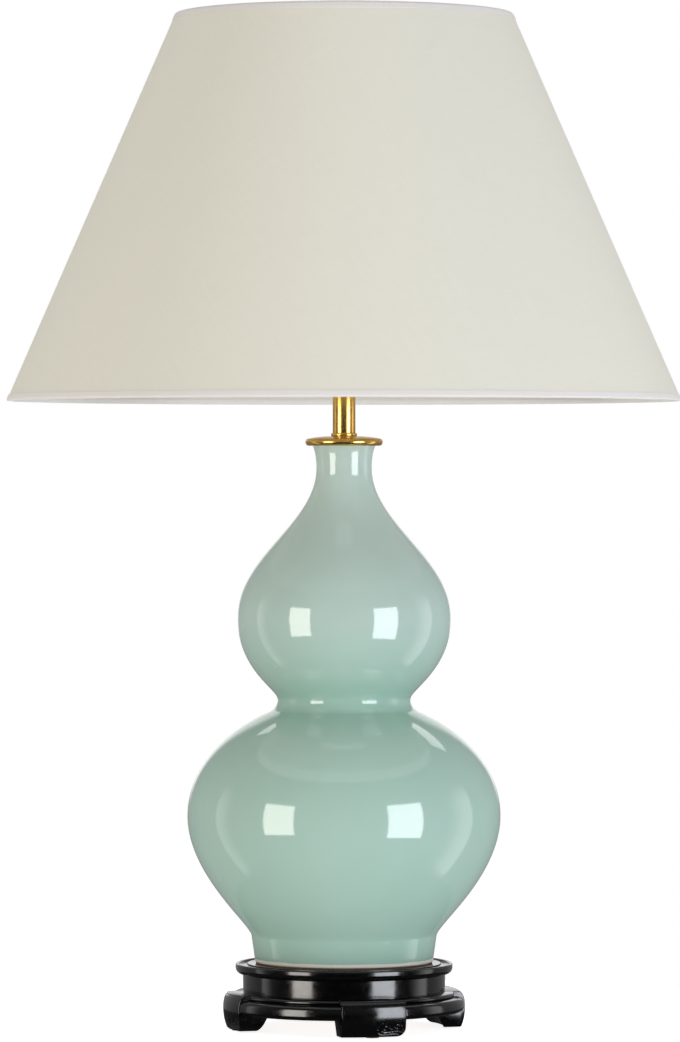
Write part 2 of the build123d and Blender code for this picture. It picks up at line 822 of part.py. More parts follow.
# Glass stem on the floor of the screw cap, with the filaments standing round it.
stem_z = bulb_cap_z + bulb_cap_wall
stem_top_z = bulb_mid_z + filament_top_up
with BuildPart() as bulb_stem:
    with BuildSketch(Plane.XY.offset(stem_z)):
        Circle(bulb_stem_r)
    extrude(amount=stem_top_z - stem_z)
    with BuildSketch(Plane.XY.offset(stem_top_z)):
        Circle(filament_pitch_r + filament_r)
    extrude(amount=bulb_disc_t)
bulb_stem.part.label = "bulb_stem"

with BuildPart() as bulb_filaments:
    with BuildSketch(Plane.XY.offset(stem_top_z - filament_len)):
        with PolarLocations(filament_pitch_r, filament_count):
            Circle(filament_r)
    extrude(amount=filament_len)
bulb_filaments.part.label = "bulb_filaments"

# ---------------------------------------------------------------- shade carrier

carrier_washer_r = skirt_r + loose_gap + carrier_washer_w
with BuildPart() as carrier_washer:
    with BuildSketch(Plane.XY.offset(carrier_z)):
        Circle(carrier_washer_r)
        Circle(skirt_r + loose_gap, mode=Mode.SUBTRACT)
    extrude(amount=carrier_washer_t)
carrier_washer.part.label = "carrier_washer"

# Each arm lies on the washer, leans out past the bulb and stands up under the gallery.
arm_foot_z = carrier_z + carrier_washer_t + carrier_wire_r
gallery_z = shade_seat_z - gallery_t
with BuildPart() as carrier_arms:
    for n in range(carrier_arm_count):
        arm_plane = radial_plane(90 + n * 360 / carrier_arm_count)
        with BuildLine(arm_plane) as arm_path:
            FilletPolyline(
                (ring_r + 3 * loose_gap, arm_foot_z),
                (carrier_washer_r + carrier_arm_flat, arm_foot_z),
                (carrier_arm_r, arm_foot_z + carrier_arm_rise),
                (carrier_arm_r, gallery_z),
                radius=carrier_bend_r,
            )
        with BuildSketch(Plane(origin=arm_path.line @ 0, z_dir=arm_path.line % 0)):
            Circle(carrier_wire_r)
        sweep(path=arm_path.line)
carrier_arms.part.label = "carrier_arms"

# Gallery: a flat seat with an upstand that centres the shade's fitter.
with BuildPart() as carrier_gallery:
    with BuildSketch(Plane.XY.offset(gallery_z)):
        Circle(gallery_r)
    extrude(amount=gallery_t)
    with BuildSketch(Plane.XY.offset(shade_seat_z)):
        Circle(gallery_spigot_r)
    extrude(amount=gallery_spigot_h)
    with BuildSketch(Plane.XY.offset(gallery_z)):
        Circle(gallery_spigot_r - gallery_t)
    extrude(amount=gallery_t + gallery_spigot_h, mode=Mode.SUBTRACT)
carrier_gallery.part.label = "carrier_gallery"

# ---------------------------------------------------------------- shade

taper = (shade_bottom_d - shade_top_d) / 2 / shade_h


def cone_r(z):
    """Radius of the cover's outer face at this height."""
    return shade_bottom_d / 2 - trim_t - taper * (z - shade_bottom_z)


def cone_shell(depth_out, depth_in, low_z, high_z):
    """Closed outline of a layer of the shade, between two depths under its outer face."""
    Polyline(
        (cone_r(low_z) - depth_out, low_z),
        (cone_r(high_z) - depth_out, high_z),
        (cone_r(high_z) - depth_in, high_z),
        (cone_r(low_z) - depth_in, low_z),
        close=True,
    )


cover_low_z = shade_bottom_z + trim_t
cover_high_z = shade_top_z - trim_t
liner_depth = fabric_t + glue_line
skin_depth = liner_depth + liner_t
wire_reach = frame_wire_r * hypot(1, taper)     # half a wire, measured level, against the slope
wire_depth = skin_depth + glue_line + wire_reach

with BuildPart() as shade_cover:
    with BuildSketch(Plane.XZ):
        with BuildLine():
            cone_shell(0, fabric_t, cover_low_z, cover_high_z)
        make_face()
    revolve(axis=Axis.Z)
shade_cover.part.label = "shade_cover"

with BuildPart() as shade_liner:
    with BuildSketch(Plane.XZ):
        with BuildLine():
            cone_shell(liner_depth, skin_depth, cover_low_z, cover_high_z)
        make_face()
    revolve(axis=Axis.Z)
shade_liner.part.label = "shade_liner"

# Wire rings just inside the liner, at the very top and bottom.
top_wire_z = cover_high_z - frame_wire_r - glue_line
top_wire_r = cone_r(top_wire_z) - wire_depth
with BuildPart() as shade_top_wire:
    with Locations((0, 0, top_wire_z)):
        Torus(top_wire_r, frame_wire_r)
shade_top_wire.part.label = "shade_top_wire"

bottom_wire_z = cover_low_z + frame_wire_r + glue_line
bottom_wire_r = cone_r(bottom_wire_z) - wire_depth
with BuildPart() as shade_bottom_wire:
    with Locations((0, 0, bottom_wire_z)):
        Torus(bottom_wire_r, frame_wire_r)
shade_bottom_wire.part.label = "shade_bottom_wire"

# Bindings folded over both edges and the wires inside them. The upper one is slit for the arms.
trim_depth = wire_depth + wire_reach + glue_line
trim_slit_w = 2 * (frame_wire_r + loose_gap)
trim_slit_len = 8 * trim_t
with BuildPart() as shade_top_trim:
    with BuildSketch(Plane.XZ):
        with BuildLine():
            cone_shell(-trim_t, trim_depth + trim_t, shade_top_z - trim_w, shade_top_z)
        make_face()
        with BuildLine():
            cone_shell(-glue_line / 2, trim_depth, shade_top_z - trim_w, cover_high_z + glue_line / 2)
        make_face(mode=Mode.SUBTRACT)
    revolve(axis=Axis.Z)
    with BuildSketch(Plane.XY.offset(shade_top_z - trim_w)):
        with PolarLocations(top_wire_r - trim_slit_len, shade_arm_count, start_angle=90):
            Rectangle(2 * trim_slit_len, trim_slit_w)
    extrude(amount=trim_w - trim_t, mode=Mode.SUBTRACT)
shade_top_trim.part.label = "shade_top_trim"

with BuildPart() as shade_bottom_trim:
    with BuildSketch(Plane.XZ):
        with BuildLine():
            cone_shell(-trim_t, trim_depth + trim_t, shade_bottom_z, shade_bottom_z + trim_w)
        make_face()
        with BuildLine():
            cone_shell(-glue_line / 2, trim_depth, cover_low_z - glue_line / 2, shade_bottom_z + trim_w)
        make_face(mode=Mode.SUBTRACT)
    revolve(axis=Axis.Z)
shade_bottom_trim.part.label = "shade_bottom_trim"

# Fitter: a flat ring that drops over the gallery, carried by straight arms from the top wire.
with BuildPart() as shade_fitter_ring:
    with BuildSketch(Plane.XY.offset(shade_seat_z)):
        Circle(fitter_r)
        Circle(gallery_spigot_r + loose_gap, mode=Mode.SUBTRACT)
    extrude(amount=fitter_t)
shade_fitter_ring.part.label = "shade_fitter_ring"

fitter_wire_z = shade_seat_z + fitter_t + frame_wire_r
arm_start = Vector((gallery_spigot_r + loose_gap + fitter_r) / 2, fitter_wire_z)
arm_bend = arm_start + Vector(shade_arm_flat, 0)
arm_rise = Vector(top_wire_r, top_wire_z) - arm_bend
arm_end = arm_bend + arm_rise * (1 - (frame_wire_r + glue_line / 2) / arm_rise.length)
with BuildPart() as shade_arms:
    for n in range(shade_arm_count):
        arm_plane = radial_plane(90 + n * 360 / shade_arm_count)
        with BuildLine(arm_plane) as shade_arm_path:
            FilletPolyline(tuple(arm_start), tuple(arm_bend), tuple(arm_end), radius=shade_arm_bend_r)
        with BuildSketch(Plane(origin=shade_arm_path.line @ 0, z_dir=shade_arm_path.line % 0)):
            Circle(frame_wire_r)
        sweep(path=shade_arm_path.line)
shade_arms.part.label = "shade_arms"

# ---------------------------------------------------------------- one file for each piece

pieces = [
    stand_top, stand_waist, stand_apron, *feet, *pads, bottom_plate, bottom_plate_screws,
    cord_inlet_bush, seat_pad, gourd_body, threaded_rod, rod_washer, rod_lock_washer, rod_nut,
    rod_end_bush, neck_plug, brass_cap, brass_collar, brass_tube, holder_dome, holder_skirt,
    holder_insert, holder_terminal_screws, holder_contact, holder_screw_shell, switch_bar,
    carrier_clamp_ring, bulb_contact, bulb_insulator, bulb_screw_cap, bulb_glass, bulb_stem,
    bulb_filaments, carrier_washer, carrier_arms, carrier_gallery, shade_cover, shade_liner,
    shade_top_wire, shade_bottom_wire, shade_top_trim, shade_bottom_trim, shade_fitter_ring,
    shade_arms,
]
for piece in pieces:
    export_step(piece.part, f"parts/{piece.part.label}.step")
print(len(pieces), "pieces, shade from", round(shade_bottom_z, 2), "to", round(shade_top_z, 2))
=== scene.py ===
from math import asin, cos, hypot, pi, radians, sin, sqrt

import bmesh
import bpy
from mathutils import Matrix, Vector, noise


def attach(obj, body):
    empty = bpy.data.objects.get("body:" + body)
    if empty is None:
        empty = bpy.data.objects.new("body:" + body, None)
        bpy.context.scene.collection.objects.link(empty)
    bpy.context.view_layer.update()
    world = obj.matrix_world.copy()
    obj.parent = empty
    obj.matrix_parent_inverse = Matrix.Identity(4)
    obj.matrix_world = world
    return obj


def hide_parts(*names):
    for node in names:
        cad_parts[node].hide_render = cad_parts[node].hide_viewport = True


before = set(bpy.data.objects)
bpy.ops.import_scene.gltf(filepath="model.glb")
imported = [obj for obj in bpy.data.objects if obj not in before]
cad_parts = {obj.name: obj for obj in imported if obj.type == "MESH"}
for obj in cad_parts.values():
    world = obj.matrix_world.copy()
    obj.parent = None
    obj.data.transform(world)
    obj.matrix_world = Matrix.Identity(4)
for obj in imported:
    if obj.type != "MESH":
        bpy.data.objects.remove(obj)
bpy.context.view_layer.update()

# Looks of a double gourd table lamp. Lengths in the dictionaries are in millimetres
# where no other unit is named, the meshes are in metres.
mm = 0.001
scene = bpy.context.scene
scene.view_settings.view_transform = "Standard"
print("frame loaded:", len(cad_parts), "nodes")

# camera: from the ellipses of the shade's rims and of the stand
shot = {
    "azimuth": -14.8,   # degrees round from the front foot
    "distance": 4.4,    # m to the lamp's axis
    "height": 0.4194,   # m
    "lens": 202.28,     # mm, on a 36 mm sensor
    "down": 0.5,        # degrees
    "left": 0.04,       # degrees
}
cameraData = bpy.data.cameras.new("studioCamera")
cameraData.lens = shot["lens"]
cameraData.sensor_width = 36
camera = bpy.data.objects.new("studioCamera", cameraData)
scene.collection.objects.link(camera)
facing = radians(shot["azimuth"])
camera.location = (sin(facing) * shot["distance"], -cos(facing) * shot["distance"], shot["height"])
camera.rotation_euler = (radians(90 - shot["down"]), 0, facing + radians(shot["left"]))
scene.camera = camera


# sRGB hex to linear colour
def hexToLinear(code):
    parts = [int(code[i:i + 2], 16) / 255 for i in (1, 3, 5)]
    return tuple(c / 12.92 if c < 0.04045 else ((c + 0.055) / 1.055) ** 2.4 for c in parts) + (1.0,)


def addNode(tree, kind, sockets=None, **settings):
    node = tree.nodes.new(kind)
    for name, value in settings.items():
        setattr(node, name, value)
    for key, value in (sockets or {}).items():
        if isinstance(value, bpy.types.NodeSocket):
            tree.links.new(value, node.inputs[key])
        else:
            node.inputs[key].default_value = value
    return node


# each of these adds one node and gives its result

def calc(tree, operation, *values, **settings):
    node = addNode(tree, "ShaderNodeMath", dict(enumerate(values)), operation=operation, **settings)
    return node.outputs[0]


# value of the first range, put in the second
def ranged(tree, value, start, end, first=0.0, last=1.0, **settings):
    return addNode(tree, "ShaderNodeMapRange", {0: value, 1: start, 2: end, 3: first, 4: last},
                   **settings).outputs[0]


def scaled(tree, vector, factors):
    return addNode(tree, "ShaderNodeVectorMath", {0: vector, 1: factors}, operation="MULTIPLY").outputs[0]


# colours are sRGB hex or another node's result
def mixed(tree, share, first, second):
    first, second = (hexToLinear(c) if isinstance(c, str) else c for c in (first, second))
    return addNode(tree, "ShaderNodeMix", {0: share, 6: first, 7: second}, data_type="RGBA").outputs[2]


# noise of this size in millimetres, or of the vector's own scale
def noiseOf(tree, vector, size=1000, detail=2.0, roughness=0.5):
    return addNode(tree, "ShaderNodeTexNoise", {"Vector": vector, "Scale": 1 / (size * mm), "Detail": detail,
                                                "Roughness": roughness}).outputs[0]


# relief of this many millimetres
def bumpOf(tree, height, relief, **sockets):
    return addNode(tree, "ShaderNodeBump", {"Height": height, "Distance": relief * mm, **sockets}).outputs[0]


def blankTree(owner):
    owner.use_nodes = True
    owner.node_tree.nodes.clear()
    return owner.node_tree


# an empty material with its shader and the piece's own coordinates, which are metres in the lamp's frame
def startMaterial(name, values):
    material = bpy.data.materials.new(name)
    tree = blankTree(material)
    shader = addNode(tree, "ShaderNodeBsdfPrincipled", values)
    addNode(tree, "ShaderNodeOutputMaterial", {"Surface": shader.outputs[0]})
    place = addNode(tree, "ShaderNodeTexCoord").outputs["Object"]
    return material, tree, shader, place


def feed(tree, shader, colour, rough, normal):
    for name, result in (("Base Color", colour), ("Roughness", rough), ("Normal", normal)):
        if result is not None:
            tree.links.new(result, shader.inputs[name])


# lets a share of the light through the shader's surface
def letThrough(tree, shader, colour, share):
    glow = addNode(tree, "ShaderNodeBsdfTranslucent", {"Color": colour})
    both = addNode(tree, "ShaderNodeMixShader", {0: share, 1: shader.outputs[0], 2: glow.outputs[0]})
    tree.links.new(both.outputs[0], tree.nodes["Material Output"].inputs["Surface"])


# finishes

celadon = {
    "lowZ": 0.05, "highZ": 0.4375,   # m, between which the stops lie
    # foot, lower bulb, shoulder, waist, upper bulb and neck; the waist is darker for pooled glaze and painted
    # shade, the foot darker for painted shade, and the upper bulb and neck paler and greyer for a painted
    # reflection
    "stops": [(0.0, "#9fbfb1"), (0.27, "#a7c3b7"), (0.43, "#a4c2b5"), (0.52, "#9dbdaf"), (0.66, "#b0c6bd"),
              (0.95, "#b6c8c0")],
    "cloud": "#86ae9c", "cloudSize": 34,     # slow drift of the glaze's colour
    "speck": "#7c9384", "speckPitch": 9,     # iron specks
    "biscuit": "#dcd9cf",
    "ringPitch": 7,      # faint turning rings under the glaze
    "ringHeight": 0.02,
    "ripple": 2.6,       # orange peel of the fired surface
    "rippleHeight": 0.0022,
    "lineHeight": 52.9,  # where the glaze was wiped off the foot
    "lineSize": 14, "lineWobble": 1.6,
}


# fired celadon glaze over white porcelain: a deep clear gloss, colour that drifts a little with the glaze's
# thickness, colour by height that also holds painted shade and a painted reflection, and a bare foot ring
# that is matt
def celadonGlaze():
    look = celadon
    finish, tree, shader, place = startMaterial("celadonGlazedPorcelain", {"IOR": 1.5})
    height = addNode(tree, "ShaderNodeSeparateXYZ", {0: place}).outputs["Z"]
    # colour by height: pooled glaze at the waist, with painted shade at the foot and waist and a painted
    # reflection up the neck
    ramp = addNode(tree, "ShaderNodeValToRGB", {0: ranged(tree, height, look["lowZ"], look["highZ"])})
    line = ramp.color_ramp
    while len(line.elements) < len(look["stops"]):
        line.elements.new(0.5)
    for element, (share, code) in zip(line.elements, look["stops"]):
        element.position = share
        element.color = hexToLinear(code)
    cloud = noiseOf(tree, place, look["cloudSize"], 3.0, 0.55)
    drift = mixed(tree, ranged(tree, cloud, 0.35, 0.65, 0.0, 0.07), ramp.outputs[0], look["cloud"])
    speck = addNode(tree, "ShaderNodeTexVoronoi", {"Vector": place, "Scale": 1 / (look["speckPitch"] * mm)})
    dots = ranged(tree, speck.outputs["Distance"], 0.035, 0.05, 0.22, 0.0)
    dotted = mixed(tree, dots, drift, look["speck"])
    edge = calc(tree, "MULTIPLY_ADD", noiseOf(tree, place, look["lineSize"]), look["lineWobble"] * mm, height)
    bare = ranged(tree, edge, (look["lineHeight"] + 0.6) * mm, (look["lineHeight"] + 1.0) * mm, 1.0, 0.0)
    gloss = ranged(tree, cloud, 0.3, 0.7, 0.045, 0.075)
    rough = addNode(tree, "ShaderNodeMix", {0: bare, 2: gloss, 3: 0.7}).outputs[0]
    rings = noiseOf(tree, scaled(tree, place, (9.0, 9.0, 1000 / look["ringPitch"])), detail=1.0)
    peel = noiseOf(tree, place, look["ripple"], 1.0)
    feed(tree, shader, mixed(tree, bare, dotted, look["biscuit"]), rough,
         bumpOf(tree, peel, look["rippleHeight"], Normal=bumpOf(tree, rings, look["ringHeight"])))
    return finish


lacquer = {
    "black": "#040404", "brown": "#0e0a08",
    "grain": 1.4,        # width of a grain line that shows through
    "brush": 5.0,        # width of a brush mark
}


# black lacquer brushed over turned hardwood: near black, a soft gloss that varies along the brush marks,
# and a faint brown where the coat is thin at the lower edges
def blackLacquer():
    look = lacquer
    finish, tree, shader, place = startMaterial("blackLacqueredHardwood", {"IOR": 1.5})
    height = addNode(tree, "ShaderNodeSeparateXYZ", {0: place}).outputs["Z"]
    grain = noiseOf(tree, scaled(tree, place, (22.0, 22.0, 1000 / look["grain"])), detail=4.0, roughness=0.6)
    worn = calc(tree, "MULTIPLY", ranged(tree, height, 1.0 * mm, 4.0 * mm, 0.6, 0.0), grain)
    both = calc(tree, "MAXIMUM", worn, ranged(tree, grain, 0.45, 0.75, 0.0, 0.3))
    brush = noiseOf(tree, place, look["brush"], 3.0)
    feed(tree, shader, mixed(tree, both, look["black"], look["brown"]),
         ranged(tree, brush, 0.3, 0.7, 0.1, 0.18),
         bumpOf(tree, brush, 0.012, Normal=bumpOf(tree, grain, 0.002)))
    return finish


brass = {"bright": "#dbb162", "deep": "#c89b4c", "line": 0.35, "smudge": 9.0}


# turned and polished brass under clear lacquer: mirror streaks softened by fine turning lines, with
# slightly deeper colour where hands have touched it
def polishedBrass():
    look = brass
    finish, tree, shader, place = startMaterial("polishedTurnedBrass", {"Metallic": 1.0})
    smudge = noiseOf(tree, place, look["smudge"], 5.0, 0.6)
    apart = addNode(tree, "ShaderNodeSeparateXYZ", {0: place})
    flat = addNode(tree, "ShaderNodeCombineXYZ", {0: apart.outputs[0], 1: apart.outputs[1]})
    radius = addNode(tree, "ShaderNodeVectorMath", {0: flat.outputs[0]}, operation="LENGTH")
    # a line for each height and each radius, so that tube and disc are both marked round the axis
    lined = addNode(tree, "ShaderNodeCombineXYZ", {0: radius.outputs["Value"], 2: apart.outputs[2]})
    feed(tree, shader, mixed(tree, smudge, look["bright"], look["deep"]),
         ranged(tree, smudge, 0.3, 0.7, 0.18, 0.26),
         bumpOf(tree, noiseOf(tree, lined.outputs[0], look["line"]), 0.0012))
    return finish


cloth = {
    "ivory": "#f7f5e9", "thread": "#ece9db",
    "tapeIvory": "#f3efec", "tapeThread": "#e9e4e0", "tapeThrough": 0.1,
    "backLow": "#f3f0eb", "backHigh": "#faf8f4",
    "yarn": 1.5,         # real yarns lie 0.45 mm apart, too fine for the picture, so they are drawn coarser
    "waveScale": 314,    # scale of a wave texture whose bands lie 1 mm apart
    "slub": 38, "slubWidth": 1.6,    # length and width of a thicker stretch of yarn
    "through": 0.16,     # light that comes through the cloth and its backing
}


# woven cotton mix for lampshades, laminated flat: matt with a faint sheen, a plain weave with soft slubs,
# and some light coming through
def shadeCloth(name, ivory, thread, through):
    finish, tree, shader = startMaterial(name, {"Roughness": 0.85, "IOR": 1.45, "Sheen Weight": 0.15,
                                                "Sheen Roughness": 0.5})[:3]
    flat = addNode(tree, "ShaderNodeUVMap", uv_map="UVMap").outputs[0]
    along, across = 1000 / cloth["slub"], 1000 / cloth["slubWidth"]
    yarns, slubs = [], []
    for direction, stretch in (("X", (along, across, 1.0)), ("Y", (across, along, 1.0))):
        wave = {"Vector": flat, "Scale": cloth["waveScale"] / cloth["yarn"], "Distortion": 0.6,
                "Detail": 1.0, "Detail Scale": 0.3}
        yarns.append(addNode(tree, "ShaderNodeTexWave", wave, bands_direction=direction).outputs["Fac"])
        slubs.append(noiseOf(tree, scaled(tree, flat, stretch), detail=3.0))
    weave, uneven = calc(tree, "MULTIPLY", *yarns), calc(tree, "ADD", *slubs)
    level = calc(tree, "MULTIPLY_ADD", uneven, 0.35, 0.1)
    shadeOf = calc(tree, "MULTIPLY_ADD", weave, 0.18, level, use_clamp=True)
    colour = mixed(tree, shadeOf, thread, ivory)
    relief = calc(tree, "MULTIPLY_ADD", weave, 0.5, uneven)
    feed(tree, shader, colour, None, bumpOf(tree, relief, 0.05, Strength=0.6))
    letThrough(tree, shader, colour, through)
    return finish


# styrene film that backs the cloth: white, even and slightly satin, faint waves from the roll
def shadeBacking():
    finish, tree, shader, place = startMaterial("styreneBackingFilm", {"IOR": 1.5})
    waves = noiseOf(tree, place, 60)
    colour = mixed(tree, waves, cloth["backLow"], cloth["backHigh"])
    feed(tree, shader, colour, ranged(tree, waves, 0.0, 1.0, 0.42, 0.6),
         bumpOf(tree, noiseOf(tree, place, 0.9), 0.01))
    letThrough(tree, shader, colour, cloth["through"])
    return finish


# a plain finish whose colour, gloss and relief all drift with one noise of a real size
def speckledFinish(name, values, colours, size, gloss, relief, stretch=(1, 1, 1)):
    finish, tree, shader, place = startMaterial(name, values)
    pulled = scaled(tree, place, tuple(s / (size * mm) for s in stretch))
    grit = noiseOf(tree, pulled, detail=4.0, roughness=0.6)
    spread = ranged(tree, grit, 0.3, 0.7)
    feed(tree, shader, mixed(tree, spread, *colours), ranged(tree, spread, 0.0, 1.0, *gloss),
         bumpOf(tree, grit, relief))
    return finish


# blown soda glass of a bulb: clear, with slow waves in its wall
def bulbGlass():
    finish, tree, shader, place = startMaterial("blownClearGlass", {
        "IOR": 1.45, "Transmission Weight": 1.0, "Roughness": 0.01, "Base Color": hexToLinear("#fbfdfc")})
    feed(tree, shader, None, None, bumpOf(tree, noiseOf(tree, place, 11), 0.05))
    return finish


glazeFinish = celadonGlaze()
lacquerFinish = blackLacquer()
brassFinish = polishedBrass()
coverFinish = shadeCloth("ivoryShadeCloth", cloth["ivory"], cloth["thread"], cloth["through"])
bindingFinish = shadeCloth("ivoryBindingTape", cloth["tapeIvory"], cloth["tapeThread"], cloth["tapeThrough"])
backingFinish = shadeBacking()
# pressed wool felt: fibres in every direction, no gloss
feltFinish = speckledFinish("brownWoolFelt", {"IOR": 1.4, "Sheen Weight": 0.4}, ("#5a4636", "#7d6650"), 0.5,
                            (0.9, 1.0), 0.12)
# cork board: warm granules
corkFinish = speckledFinish("pressedCork", {"IOR": 1.4}, ("#4a3a2e", "#6b5543"), 1.1, (0.8, 0.95), 0.1)
# hardboard: matted brown fibre with a slightly waxed face
boardFinish = speckledFinish("waxedHardboard", {"IOR": 1.5}, ("#5e412a", "#7a583a"), 0.8, (0.5, 0.65), 0.03,
                             (0.5, 1, 1))
# turned beech, bare: fine lengthways grain
beechFinish = speckledFinish("bareTurnedBeech", {"IOR": 1.5}, ("#b98f63", "#d4ad7f"), 0.9, (0.55, 0.7), 0.03,
                             (1, 1, 0.08))
# zinc plated steel: cool grey with a fine even grain in its gloss
zincFinish = speckledFinish("zincPlatedSteel", {"Metallic": 1.0}, ("#b9bcbd", "#d3d4d2"), 1.6, (0.24, 0.38),
                            0.006)
# nickel over pressed brass: warm grey, smooth
nickelFinish = speckledFinish("nickelPlatedBrass", {"Metallic": 1.0}, ("#cfc9bd", "#ded8cb"), 2.2,
                              (0.16, 0.26), 0.004)
# a drop of solder, dulled by handling
solderFinish = speckledFinish("softSolder", {"Metallic": 1.0}, ("#9d9d9c", "#c2c1bd"), 1.2, (0.28, 0.45),
                              0.05)
# moulded black phenolic plastic: satin, with a fine spark texture
plasticFinish = speckledFinish("mouldedBlackPlastic", {"IOR": 1.5}, ("#111112", "#1b1b1c"), 0.7,
                               (0.34, 0.46), 0.012)
# unglazed steatite insulator
porcelainFinish = speckledFinish("steatitePorcelain", {"IOR": 1.55}, ("#d9d5c9", "#e8e5db"), 1.5, (0.3, 0.42),
                                 0.01)
# black glass that insulates the bulb's contact
vitriteFinish = speckledFinish("blackInsulatorGlass", {"IOR": 1.55}, ("#0c0d12", "#17171d"), 1.8, (0.08, 0.2),
                               0.03)
# white powder coat baked on steel wire: even satin with a light orange peel
wireFinish = speckledFinish("whitePowderCoatedWire", {"IOR": 1.5}, ("#dedbd3", "#e9e6de"), 1.0, (0.3, 0.42),
                            0.012)
# phosphor sleeve of a filament strip: waxy yellow, uneven along its length
phosphorFinish = speckledFinish("yellowPhosphor", {"IOR": 1.45}, ("#d79a25", "#efb942"), 2.0, (0.5, 0.6),
                                0.03, (0.1, 0.1, 1))
glassFinish = bulbGlass()
print("finishes made:", len(bpy.data.materials))


# mesh helpers

# points of a Bezier curve of any order, without its first
def curvePoints(handles, steps):
    points = []
    for n in range(1, steps + 1):
        row, t = [tuple(p[:2]) for p in handles], n / steps
        while len(row) > 1:
            row = [(a[0] + (b[0] - a[0]) * t, a[1] + (b[1] - a[1]) * t) for a, b in zip(row, row[1:])]
        points.append(row[0])
    return points


# closed outline from corners (radius, height, rounding)
def softened(corners, steps=5):
    outline = []
    for i, corner in enumerate(corners):
        size = corner[2] if len(corner) > 2 else 0
        if not size:
            outline.append(corner[:2])
            continue
        ends = []
        for other in (corners[i - 1], corners[(i + 1) % len(corners)]):
            gap = hypot(other[0] - corner[0], other[1] - corner[1])
            ends.append(tuple(corner[k] + (other[k] - corner[k]) * size / gap for k in (0, 1)))
        outline.append(ends[0])
        outline += curvePoints([ends[0], corner, ends[1]], steps)
    return outline


# vertex at this radius and height, in millimetres, and this angle round the axis
def addPoint(mesh, radius, height, angle):
    return mesh.verts.new((radius * mm * cos(angle), radius * mm * sin(angle), height * mm))


# closed outline of (radius, height) turned about the lamp's axis
def turned(mesh, outline, segments, wobble=None):
    rings = []
    for radius, height in outline:
        if radius < 1e-6:
            rings.append([mesh.verts.new((0, 0, height * mm))] * segments)
            continue
        ring = []
        for n in range(segments):
            angle = 2 * pi * n / segments
            r, z = wobble(radius, height, angle) if wobble else (radius, height)
            ring.append(addPoint(mesh, r, z, angle))
        rings.append(ring)
    for i, ring in enumerate(rings):
        after = rings[(i + 1) % len(rings)]
        for n in range(segments):
            m = (n + 1) % segments
            corners = list(dict.fromkeys([ring[n], ring[m], after[m], after[n]]))
            if len(corners) > 2:
                mesh.faces.new(corners)


def addPiece(name, data, finish, body, stands=()):
    data.name = name
    data.materials.clear()
    data.materials.append(finish)
    piece = bpy.data.objects.new(name, data)
    scene.collection.objects.link(piece)
    if body:
        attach(piece, body)
    if stands:
        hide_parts(*stands)
    return piece


def finishMesh(mesh, sharp=40):
    bmesh.ops.recalc_face_normals(mesh, faces=mesh.faces)
    data = bpy.data.meshes.new("shape")
    mesh.to_mesh(data)
    mesh.free()
    data.shade_smooth()
    data.set_sharp_from_angle(angle=radians(sharp))
    return data


# skin over rows of points: closed along each row, with a face on both end rows
def skinned(mesh, rows, sharp):
    for a, b in zip(rows, rows[1:]):
        for i in range(len(a)):
            j = (i + 1) % len(a)
            mesh.faces.new((a[i], a[j], b[j], b[i]))
    mesh.faces.new(rows[0])
    mesh.faces.new(rows[-1])
    return finishMesh(mesh, sharp)


def turnedPiece(name, outline, segments, finish, body, stands, sharp=40, wobble=None):
    mesh = bmesh.new()
    turned(mesh, outline, segments, wobble)
    return addPiece(name, finishMesh(mesh, sharp), finish, body, stands)


# geometry trees

def startTree(name, inputs):
    tree = bpy.data.node_groups.new(name, "GeometryNodeTree")
    for label, kind in inputs:
        tree.interface.new_socket(label, in_out="INPUT", socket_type="NodeSocket" + kind)
    tree.interface.new_socket("Geometry", in_out="OUTPUT", socket_type="NodeSocketGeometry")
    return tree, addNode(tree, "NodeGroupInput").outputs


def endTree(tree, geometry, finish):
    real = addNode(tree, "GeometryNodeRealizeInstances", {"Geometry": geometry})
    painted = addNode(tree, "GeometryNodeSetMaterial", {"Geometry": real.outputs[0], "Material": finish})
    addNode(tree, "NodeGroupOutput", {0: painted.outputs[0]})
    return tree


# copies of one shape set round the lamp's axis
def ringOfCopies():
    tree, given = startTree("ringOfCopies", (("Shape", "Object"), ("Count", "Int"), ("First Angle", "Float"),
                                             ("Finish", "Material")))
    points = addNode(tree, "GeometryNodePoints", {"Count": given["Count"]})
    index = addNode(tree, "GeometryNodeInputIndex").outputs[0]
    step = calc(tree, "DIVIDE", 2 * pi, given["Count"])
    angle = calc(tree, "MULTIPLY_ADD", index, step, given["First Angle"])
    spin = addNode(tree, "ShaderNodeCombineXYZ", {"Z": angle})
    shape = addNode(tree, "GeometryNodeObjectInfo", {"Object": given["Shape"]})
    copies = addNode(tree, "GeometryNodeInstanceOnPoints", {
        "Points": points.outputs[0], "Instance": shape.outputs["Geometry"], "Rotation": spin.outputs[0]})
    return endTree(tree, copies.outputs[0], given["Finish"])


